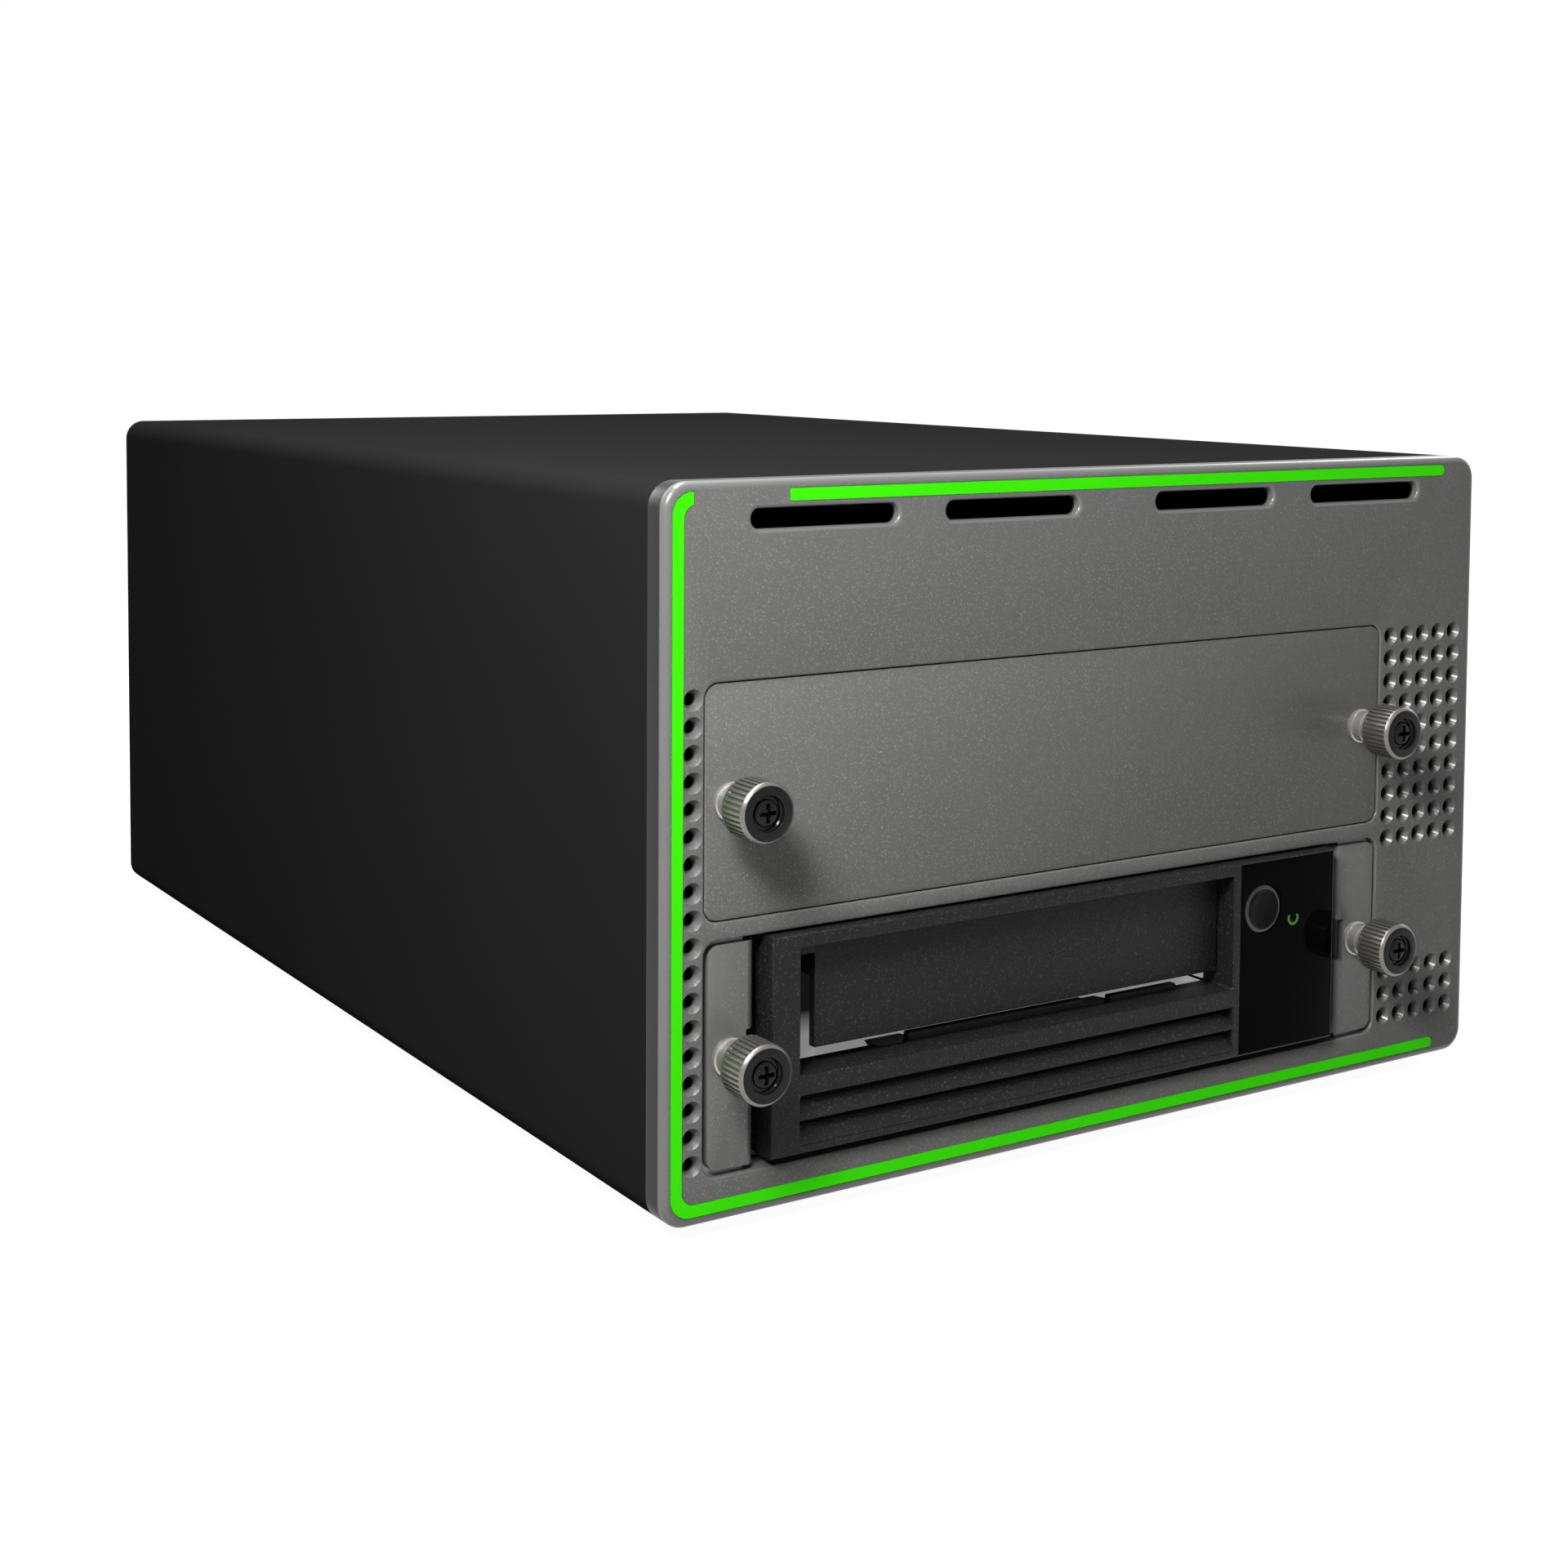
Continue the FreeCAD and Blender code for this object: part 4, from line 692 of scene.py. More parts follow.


# Every finish by its name. The bezel's coat is the front's, with painted shade on its side faces.
FRONT_COAT = Finish("front_coat", (0.120, 0.120, 0.117), 0.35, 0.0, 0.05, 40.0, 0.012, 0.28, 1.6, fleck=0.09,
                    fleck_size=0.19, fleck_colour=(0.21, 0.21, 0.205), fleck_shine=0.1, specular=0.10)
FINISHES: dict[str, Union[Finish, BoardFinish]] = {finish.name: finish for finish in (
    FRONT_COAT,
    replace(FRONT_COAT, name="bezel_coat", rim=1.5, painted_shade_colour=(0.017, 0.017, 0.0175)),
    Finish("sleeve_coat", (0.0130, 0.0130, 0.0134), 0.52, 0.0, 0.10, 60.0, 0.006, 0.4, 0.25, specular=0.0),
    # The stripe's glow is painted light: the stripe is no lamp.
    Finish("accent_green", (0.032, 0.56, 0.002), 0.45, 0.0, 0.03, 20.0, 0.003, 0.4, specular=0.03,
           glow=0.27),
    Finish("zinc_sheet", (0.26, 0.265, 0.27), 0.42, 0.6, 0.14, 7.0, 0.004, 0.8, 0.4),
    Finish("tray_coat", (0.120, 0.120, 0.118), 0.33, 0.08, 0.05, 30.0, 0.010, 0.26, 0.8, fleck=0.07,
           fleck_size=0.17, fleck_colour=(0.21, 0.21, 0.205), fleck_shine=0.3, specular=0.2),
    Finish("screw_black", (0.0045, 0.0045, 0.0045), 0.15, 0.0, 0.15, 4.0, 0.002, 0.3, specular=0.16,
           spread=0.02),
    Finish("knurl_nickel", (0.17, 0.16, 0.15), 0.30, 0.75, 0.15, 4.0, 0.002, 0.3, specular=0.4),
    Finish("screw_bright", (0.40, 0.385, 0.365), 0.33, 0.75, 0.06, 3.0, 0.002, 0.25,
           stretch=(1.0, 6.0, 1.0)),
    Finish("nut_steel", (0.45, 0.44, 0.42), 0.38, 1.0, 0.1, 3.0, 0.004, 0.3),
    Finish("drive_plastic", (0.0085, 0.0085, 0.0088), 0.46, 0.0, 0.15, 8.0, 0.14, 0.50, 1.0, fleck=0.09,
           fleck_size=0.28, fleck_colour=(0.034, 0.034, 0.035), specular=0.15),
    Finish("panel_gloss", (0.0018, 0.0018, 0.0020), 0.07, 0.0, 0.1, 20.0, specular=0.012, spread=0.02),
    Finish("button_plastic", (0.0030, 0.0030, 0.0032), 0.20, 0.0, 0.1, 6.0, 0.003, 0.3, specular=0.05,
           spread=0.02),
    Finish("light_green", (0.05, 0.20, 0.02), 0.4, 0.0, 0.05, 2.0, specular=0.1, glow=0.12),
    Finish("case_metal", (0.17, 0.173, 0.178), 0.44, 0.35, 0.08, 10.0, 0.020, 0.6, 0.3),
    Finish("bright_sheet", (0.20, 0.203, 0.208), 0.44, 0.35, 0.08, 8.0, 0.003, 0.4, 0.25,
           stretch=(0.15, 1.0, 1.0)),
    BoardFinish("board_green", (0.012, 0.075, 0.030)),
    Finish("chip_black", (0.012, 0.012, 0.013), 0.48, 0.0, 0.12, 5.0, 0.006, 0.3, specular=0.1),
    Finish("dark_plastic", (0.012, 0.012, 0.013), 0.44, 0.0, 0.10, 9.0, 0.010, 0.4, specular=0.06),
    Finish("brass_pin", (0.72, 0.56, 0.28), 0.26, 1.0, 0.06, 3.0, 0.002, 0.3),
    Finish("foot_rubber", (0.014, 0.014, 0.014), 0.82, 0.0, 0.12, 5.0, 0.030, 0.5, specular=0.03),
    Finish("reel_plastic", (0.06, 0.062, 0.066), 0.40, 0.0, 0.08, 8.0, 0.006, 0.4, specular=0.3),
    Finish("head_ceramic", (0.20, 0.19, 0.18), 0.3, 0.2, 0.10, 3.0, 0.004, 0.2),
    Finish("edge_gloss", (0.105, 0.105, 0.102), 0.30, 0.0, 0.05, 20.0, 0.004, 0.3, specular=0.6),
    Finish("ring_gloss", (0.0022, 0.0022, 0.0024), 0.14, 0.0, 0.1, 6.0, specular=0.5, spread=0.02),
    # A bright sheet for the bucket and the liner, with painted light: a glow near the front and painted shade on what
    # lies more than 19 mm behind the bezel's front.
    Finish("inner_sheet", (0.74, 0.74, 0.74), 0.40, 0.2, 0.06, 8.0, 0.003, 0.4, 0.25, glow=0.30, rim=19.0,
           painted_shade_colour=(0.022, 0.022, 0.023), painted_shade_soft=14.0),
    Finish("mark_white", (0.70, 0.70, 0.70), 0.5, 0.0, 0.04, 2.0, specular=0.2),
)}


class Dresser:
    """Gives pieces and frame nodes their material, slot and body."""

    def __init__(self) -> None:
        """Builds every finish and reads which node has which slot and body."""
        self.materials = {slot: finish.make() for slot, finish in FINISHES.items()}
        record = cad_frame["record"]
        self.slots = {part["node"]: part["material_slot"] for part in record["subparts"]}
        bodies = record["behaviour"]["bodies"]
        self.bodies = {node: body for body, nodes in bodies.items() for node in nodes}

    def paint(self, obj: bpy.types.Object, slot: str) -> None:
        """Puts one material on a mesh in place of what it has."""
        obj.data.materials.clear()
        obj.data.materials.append(self.materials[slot])
        for polygon in obj.data.polygons:
            polygon.material_index = 0

    def touch_up(self, obj: bpy.types.Object, finish: str, test: Callable[[Vector], bool]) -> None:
        """Gives the faces whose middle passes a test a second finish."""
        obj.data.materials.append(self.materials[finish])
        for polygon in obj.data.polygons:
            if test(polygon.center / MM):
                polygon.material_index = len(obj.data.materials) - 1

    def frame_nodes(self, nodes: dict[str, bpy.types.Object]) -> None:
        """Gives every carried-over node its finish."""
        for name, obj in nodes.items():
            # The cartridge bucket takes the sheet with painted glow and painted shade.
            self.paint(obj, "inner_sheet" if name == "cartridge_bucket" else self.slots[name])

    def put(self, obj: bpy.types.Object, node: str, stands_for: bool = True, angle: float = 32.0,
            finish: Optional[str] = None) -> None:
        """Finishes a piece.

        Args:
            obj: the piece.
            node: the frame node that it belongs to.
            stands_for: whether it takes the node's place.
            angle: faces that meet at less than this are shaded smooth.
            finish: its finish, if that isn't the slot's.
        """
        Bench.smooth(obj, angle)
        slot = self.slots[node]
        self.paint(obj, finish or slot)
        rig.ride(obj, self.bodies[node])
        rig.slot(obj, slot)
        if stands_for:
            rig.replaces(obj, node)
        LOG.info("%s rides on %s", obj.name, self.bodies[node])


# ------------------------------------------------------------------------------------- enclosure
@dataclass
class Enclosure:
    """Front bezel with its stripe, the sleeve behind it and the feet."""

    dresser: Dresser
    corner: float = 5.0
    edge: float = 1.3
    depth: float = 6.0
    plate: float = 2.2
    rim: float = 3.0
    pad: float = 4.2
    pad_gap: float = 1.5
    tongue: float = 0.9
    tongue_gap: float = 2.25
    tongue_end: float = 12.0
    glossy_depths: tuple[float, float] = (0.03, 1.4)
    wall: float = 2.0
    foot_r: float = 8.0
    bay_corner: float = 3.0
    bay_edge: float = 0.35
    bay_gap: float = 0.4
    bay_pitch: float = 47.1
    slot_size: tuple[float, float] = (32.7, 3.8)
    slot_edge: float = 0.7
    slot_height: float = 128.3
    slot_centres: tuple[float, ...] = (-70.4, -26.5, 26.5, 70.4)
    vent_pitch: float = 5.0
    vent_low: float = 11.3
    vent_rows: int = 18
    vent_left: float = -98.9
    vent_grid: float = 79.1
    vent_columns: int = 5
    vent_skip: tuple[int, ...] = (3, 4, 5, 6, 7)
    vent_profile: Profile = ((6.0, 1.15), (1.5, 1.15), (1.2, 1.28), (0.5, 1.72), (0.18, 1.9), (0.0, 2.02),
                             (-1.0, 2.02))
    stripe_inset: float = 1.8
    stripe_width: float = 2.3
    stripe_depth: float = 0.4
    stripe_spare: float = 0.13
    stripe_end: float = 95.1
    stripe_gap: tuple[float, float] = (-98.9, -78.5)

    def __post_init__(self) -> None:
        """Reads the front bezel's and the blank cover's boxes."""
        self.front = Box.of("front_bezel")
        self.sleeve_box = Box.of("sleeve")
        blank = Box.of("blank_cover")
        gap = self.bay_gap
        self.bay = Box(blank.x0 - gap, self.front.y0, blank.z0 - gap, blank.x1 + gap,
                       self.front.y0 + 20, blank.z1 + gap)

    def vents(self) -> bpy.types.Object:
        """One cutter for all round vents: a rounded countersink and a bore behind it."""
        zs = [self.front.z0 + self.vent_low + self.vent_pitch * k for k in range(self.vent_rows)]
        spots = [(self.vent_left, z) for z in zs]
        for column in range(self.vent_columns):
            x = self.vent_grid + column * self.vent_pitch
            spots += [(x, z) for k, z in enumerate(zs) if k not in self.vent_skip]
        x0, z0 = spots[0]
        first = Bench.turned("vent_cutter", Axis.Y, (x0, self.front.y0, z0), self.vent_profile, 20)
        copies = [Bench.copy(first, "vent_cutter", (x - x0, 0.0, z - z0)) for x, z in spots[1:]]
        return Bench.gather("vent_cutters", [first] + copies)

    def stripe_ring(self, name: str, spare: float) -> bpy.types.Object:
        """The stripe's two lengths, or with some spare room the cutter for their groove."""
        f = self.front
        y0, y1 = f.y0 - (0.5 if spare else -0.04), f.y0 + self.stripe_depth
        x0, x1 = f.x0 + self.stripe_inset - spare, f.x1 - self.stripe_inset + spare
        z0, z1 = f.z0 + self.stripe_inset - spare, f.z1 - self.stripe_inset + spare
        w = self.stripe_width + 2 * spare
        outer = Bench.bar(name, Box(x0, y0, z0, x1, y1, z1), Axis.Y, 4.1, 8)
        inner = Bench.bar("in", Box(x0 + w, y0 - 1, z0 + w, x1 - w, y1 + 1, z1 - w), Axis.Y, 2.6, 8)
        end = self.stripe_end + spare
        right = Bench.block("right", Box(end, y0 - 1, z0 - 1, x1 + 1, y1 + 1, z1 + 1))
        bare = Bench.block("bare", Box(self.stripe_gap[0] + spare, y0 - 1, z1 - w - 1,
                                       self.stripe_gap[1] - spare, y1 + 1, z1 + 1))
        ring = Bench.carve(outer, inner, right, bare)
        return Bench.round_edges(ring, Axis.Y, 1.0, 5, lambda mid: mid.x > end - HAIR)

    def pads(self) -> list[bpy.types.Object]:
        """Thick strips behind the vents, beside the bays."""
        f, r = self.front, self.rim
        low = f.z0 + self.vent_low - self.vent_pitch
        high = f.z0 + self.vent_low + self.vent_pitch * self.vent_rows
        spans = ((f.x0 + r - 1, self.bay.x0 - self.pad_gap), (self.bay.x1 + self.pad_gap, f.x1 - r + 1))
        return [Bench.block("pad", Box(x0, f.y0 + 1.5, low, x1, f.y0 + self.pad, high)) for x0, x1 in spans]

    def tongues(self) -> list[bpy.types.Object]:
        """Thin strips that slip into the sleeve."""
        f, gap, thick, end = self.front, self.tongue_gap, self.tongue, self.tongue_end
        y0, y1 = f.y0 + 5, f.y0 + 12
        boxes = [Box(f.x0 + end, y0, z, f.x1 - end, y1, z + thick) for z in (f.z0 + gap, f.z1 - gap - thick)]
        boxes += [Box(x, y0, f.z0 + end, x + thick, y1, f.z1 - end) for x in (f.x0 + gap, f.x1 - gap - thick)]
        return [Bench.block("tongue", box) for box in boxes]

    def build_front(self) -> None:
        """Front bezel with rounded edges, vents, slots, bays and the stripe's groove."""
        f, r, b = self.front, self.rim, self.bay
        outer = Box(f.x0, f.y0, f.z0, f.x1, f.y0 + self.depth, f.z1)
        shell = Bench.bar("front_shell", outer, Axis.Y, self.corner, 10)
        Bench.bevel(shell, self.edge, 5, before(f.y0))
        hollow = Box(f.x0 + r, f.y0 + self.plate, f.z0 + r, f.x1 - r, f.y0 + 9, f.z1 - r)
        Bench.carve(shell, Bench.bar("hollow", hollow, Axis.Y, 2.0, 5))
        Bench.weld(shell, *self.pads(), *self.tongues())
        for drop in (0.0, self.bay_pitch):
            mouth = Box(b.x0, f.y0, b.z0 - drop, b.x1, f.y0 + self.depth, b.z1 - drop)
            Bench.carve(shell, Bench.mouth_cutter("bay", mouth, self.bay_corner, self.bay_edge))
        wide, tall = self.slot_size
        z = f.z0 + self.slot_height
        for x in self.slot_centres:
            mouth = Box(x - wide / 2, f.y0, z - tall / 2, x + wide / 2, f.y0 + self.depth, z + tall / 2)
            Bench.carve(shell, Bench.mouth_cutter("slot", mouth, tall / 2 - 0.02, self.slot_edge))
        Bench.carve(shell, self.stripe_ring("groove", self.stripe_spare), self.vents())
        # The bezel's finish paints shade on its side faces, behind the first 1.5 mm.
        self.dresser.put(shell, "front_bezel", angle=38.0, finish="bezel_coat")
        near, far = self.glossy_depths
        self.dresser.touch_up(shell, "edge_gloss", lambda mid: near < mid.y - f.y0 < far)

    def build_stripe(self) -> None:
        """The stripe, just below the face in its groove."""
        self.dresser.put(self.stripe_ring("stripe", 0.0), "accent_stripe")

    def build_sleeve(self) -> None:
        """The sleeve, one tube with rounded long edges and softened ends."""
        s, t = self.sleeve_box, self.wall
        tube = Bench.bar("sleeve_tube", s, Axis.Y, self.corner, 12)
        Bench.bevel(tube, 0.35, 3, lambda mid, run: mid.y < s.y0 + HAIR or mid.y > s.y1 - HAIR)
        bore = Bench.bar("bore", s.inset(t, -t, t), Axis.Y, self.corner - t, 8)
        self.dresser.put(Bench.carve(tube, bore), "sleeve")

    def build_feet(self) -> None:
        """Four round rubber feet with a softened lower edge."""
        feet, r = Box.of("feet"), self.foot_r
        profile = [(3.0, r), (0.5, r), (0.12, r - 0.3), (0.0, r - 0.8), (0.0, 3.2), (0.9, 2.8), (0.9, 0.4)]
        made = [Bench.turned("foot", Axis.Z, (x, y, 0.0), profile, 40)
                for x in (feet.x0 + r, feet.x1 - r) for y in (feet.y0 + r, feet.y1 - r)]
        self.dresser.put(Bench.gather("rubber_feet", made), "feet")

    def build(self) -> None:
        """Builds all its pieces."""
        self.build_front()
        self.build_stripe()
        self.build_sleeve()
        self.build_feet()


# ------------------------------------------------------------------------------------- thumbscrews
@dataclass
class Thumbscrews:
    """Knurled knobs, their washers and the bright ferrules on both covers."""

    dresser: Dresser
    flutes: int = 36
    flute_depth: float = 0.36
    flute_edge: float = 0.10
    recess: float = 3.3
    length: float = 7.7
    neck: float = 3.0
    shank_r: float = 1.95
    root_r: float = 1.68
    pitch: float = 0.7
    thread: float = 6.4
    cross: tuple[float, float] = (1.75, 0.42)
    cross_depth: float = 1.75
    dome: Profile = ((1.2, 2.55), (0.75, 2.45), (0.42, 2.0), (0.28, 1.2), (0.25, 0.3))
    bore_r: float = 2.05
    washer_r: float = 3.3

    def shank(self, end: float) -> Profile:
        """The threaded shank's profile, from the back of the knob to its tip."""
        r, root = self.shank_r, self.root_r
        points = [(self.length, r), (self.length + self.neck, r)]
        place = end - self.thread
        while place < end - self.pitch:
            points += [(place, r), (place + 0.3, root), (place + 0.4, root)]
            place += self.pitch
        return points + [(end - 0.4, 1.9), (end, 1.5)]

    def knob(self, place: str) -> None:
        """One knob with its shank, in the place of its frame node."""
        box = Box.of("thumbscrew_" + place)
        x, _, z = box.centre
        r, length, low, sides = (box.x1 - box.x0) / 2, self.length, self.recess, self.flutes * 2
        at = (x, box.y0, z)
        profile = [(1.15, 0.6), (1.15, low - 0.25), (0.9, low), (0.12, low), (0.0, low + 0.14),
                   (0.0, r - 0.85), (0.1, r - 0.62), (0.62, r - 0.08), (0.8, r),
                   (length - 0.7, r), (length - 0.12, r - 0.6), (length, r - 0.85)]
        body = Bench.turned("knob_" + place, Axis.Y, at, profile + self.shank(box.y1 - box.y0), sides)

        def radius(mid: Vector) -> float:
            """How far a point is from the knob's axis."""
            return math.hypot(mid.x - x, mid.z - z)

        def on_flute(mid: Vector, normal: Vector) -> bool:
            """Whether a face is one of every other face round the barrel."""
            turn = math.atan2(mid.z - z, mid.x - x) / (2 * math.pi) * sides
            return abs(normal.y) < 0.2 and radius(mid) > r - 0.3 and math.floor(turn) % 2 == 0

        Bench.pick_faces(body, on_flute)
        bpy.ops.mesh.inset(use_individual=True, thickness=self.flute_edge * MM, depth=-self.flute_depth * MM)
        Bench.done()
        Bench.weld(body, Bench.turned("dome", Axis.Y, at, self.dome, 32))
        long, thin = self.cross
        for wide, tall in ((long, thin), (thin, long)):
            arm = Box(x - wide, box.y0 - 1, z - tall, x + wide, box.y0 + self.cross_depth, z + tall)
            Bench.carve(body, Bench.block("arm", arm))
        self.dresser.put(body, "thumbscrew_" + place, angle=40.0)
        self.dresser.touch_up(body, "knurl_nickel",
                              lambda mid: 0.3 < mid.y - box.y0 < length and radius(mid) > r - 1.0)

    def washer(self, place: str) -> None:
        """A thin ring behind the knob."""
        box = Box.of("thumb_washer_" + place)
        x, _, z = box.centre
        thick, r, bore = box.y1 - box.y0, self.washer_r, self.bore_r
        ring = [(0.0, bore), (0.0, r - 0.1), (0.1, r), (thick - 0.1, r), (thick, r - 0.1), (thick, bore)]
        made = Bench.turned("washer_" + place, Axis.Y, (x, box.y0, z), ring, 36, ring=True)
        self.dresser.put(made, "thumb_washer_" + place)

    def ferrules(self, name: str, node: str) -> None:
        """The pair of ferrules on one cover."""
        box = Box.of(node)
        r, deep, bore = (box.z1 - box.z0) / 2, box.y1 - box.y0, self.bore_r
        profile = [(0.0, bore), (0.0, r - 0.55), (0.15, r - 0.35), (1.1, r - 0.3), (1.25, r - 0.55),
                   (1.5, r - 0.55), (1.65, r - 0.3), (deep - 0.9, r - 0.3), (deep - 0.75, r), (deep, r),
                   (deep, bore)]
        pair = [Bench.turned("ferrule", Axis.Y, (x, box.y0, box.centre[2]), profile, 48, ring=True)
                for x in (box.x0 + r, box.x1 - r)]
        self.dresser.put(Bench.gather(name, pair), node)

    def build(self) -> None:
        """Builds all four screws and both pairs of ferrules."""
        for place in ("upper_left", "upper_right", "lower_left", "lower_right"):
            self.knob(place)
            self.washer(place)
        self.ferrules("upper_ferrules", "blank_ferrules")
        self.ferrules("lower_ferrules", "tray_ferrules")


# ------------------------------------------------------------------------------------- covers
@dataclass
class Covers:
    """The blank cover and the drive's tray."""

    dresser: Dresser
    sheet: float = 1.5
    bend: float = 2.2
    snug: float = 0.14
    face_corner: float = 2.6
    edge: float = 0.2
    lip_inset: float = 11.3
    lip: float = 1.2
    flange_tall: float = 41.4
    flange_deep: float = 19.6
    flange_corner: float = 2.2
    bend_depth: float = 5.6
    notch_half: float = 4.5
    wall_tall: float = 26.0
    floor: float = 1.2
    windows: tuple[float, ...] = (29.6, 89.6, 149.6)
    window: tuple[float, float] = (18.0, 40.0)

    def build_blank(self) -> None:
        """Blank cover with a softened edge and two stiffening lips."""
        b = Box.of("blank_cover")
        g = self.snug
        face = Box(b.x0 - g, b.y0, b.z0 - g, b.x1 + g, b.y0 + self.sheet, b.z1 + g)
        plate = Bench.bar("blank_plate", face, Axis.Y, self.face_corner + g, 8)
        Bench.bevel(plate, self.edge, 2, before(b.y0))
        x0, x1 = b.x0 + self.lip_inset, b.x1 - self.lip_inset
        lips = [Bench.block("lip", Box(x0, b.y0 + 1.0, z, x1, b.y1, z + self.lip))
                for z in (b.z0 + 0.8, b.z1 - 2.0)]
        self.dresser.put(Bench.weld(plate, *lips), "blank_cover")

    def side(self, box: Box, inner: float, tip: float, screw: Box) -> bpy.types.Object:
        """One bent side of the tray: front flange, rounded bend and wall.

        Args:
            box: the tray's box.
            inner: the wall's face towards the drive.
            tip: the flange's outer end.
            screw: the box of the screw through the flange.

        Returns:
            The side.
        """
        t, y0, corner = self.sheet, box.y0, self.flange_corner
        out = 1.0 if tip > inner else -1.0
        tip += out * self.snug
        z0, z1 = box.z1 - self.flange_tall - self.snug, box.z1 + self.snug

        def block(name: str, x: tuple[float, float], y: tuple[float, float],
                  z: tuple[float, float]) -> bpy.types.Object:
            """A block between two places on each axis, the X places in either order."""
            return Bench.block(name, Box(min(x), y[0], z[0], max(x), y[1], z[1]))

        strip = block("tray_side", (inner, tip), (y0, y0 + self.flange_deep), (z0, z1))
        pocket = block("pocket", (inner + out * t, tip + out * 1.0), (y0 + t, y0 + 30), (z0 - 1, z1 + 1))
        Bench.carve(strip, pocket)
        Bench.round_edges(strip, Axis.Z, self.bend, 8,
                          lambda mid: abs(mid.x - inner) < HAIR and mid.y < y0 + HAIR)
        Bench.round_edges(strip, Axis.Z, self.bend - t, 6,
                          lambda mid: abs(mid.x - inner - out * t) < HAIR and abs(mid.y - y0 - t) < HAIR)
        Bench.round_edges(strip, Axis.Y, corner, 6, lambda mid: abs(mid.x - tip) < HAIR)
        Bench.bevel(strip, self.edge, 2, lambda mid, run: mid.y < y0 + HAIR and abs(mid.x - tip) < 12 and
                    min(abs(mid.z - z0), abs(mid.z - z1), abs(mid.x - tip)) < corner + 0.1)
        mid, half = screw.centre[2], self.notch_half
        Bench.carve(strip, block("notch", (inner - out * 1.0, inner + out * self.bend),
                                 (y0 - 1, y0 + self.bend_depth + 1), (mid - half, mid + half)))
        return Bench.weld(strip, block("wall", (inner, inner + out * t), (y0 + self.bend_depth, box.y1),
                                       (box.z0, box.z0 + self.wall_tall)))

    def build_tray(self) -> None:
        """The tray: two bent sides and a floor with three windows."""
        b = Box.of("tray_pan")
        drive, spacer = Box.of("drive_case"), Box.of("drive_spacers")
        left = self.side(b, drive.x0, b.x0, Box.of("thumbscrew_lower_left"))
        right = self.side(b, spacer.x1, b.x1, Box.of("thumbscrew_lower_right"))
        floor = Bench.block("tray_floor", Box(drive.x0 - 0.2, b.y0 + self.bend_depth, b.z0,
                                              spacer.x1 + 0.2, b.y1, b.z0 + self.floor))
        margin, deep = self.window
        x0, x1 = drive.x0 + margin, spacer.x1 - margin
        windows = [Bench.bar("window", Box(x0, b.y0 + d, b.z0 - 1, x1, b.y0 + d + deep, b.z0 + 3),
                             Axis.Z, 3.0, 5) for d in self.windows]
        Bench.carve(floor, *windows)
        self.dresser.put(Bench.weld(floor, left, right), "tray_pan")

    def build(self) -> None:
        """Builds both covers."""
        self.build_blank()
        self.build_tray()


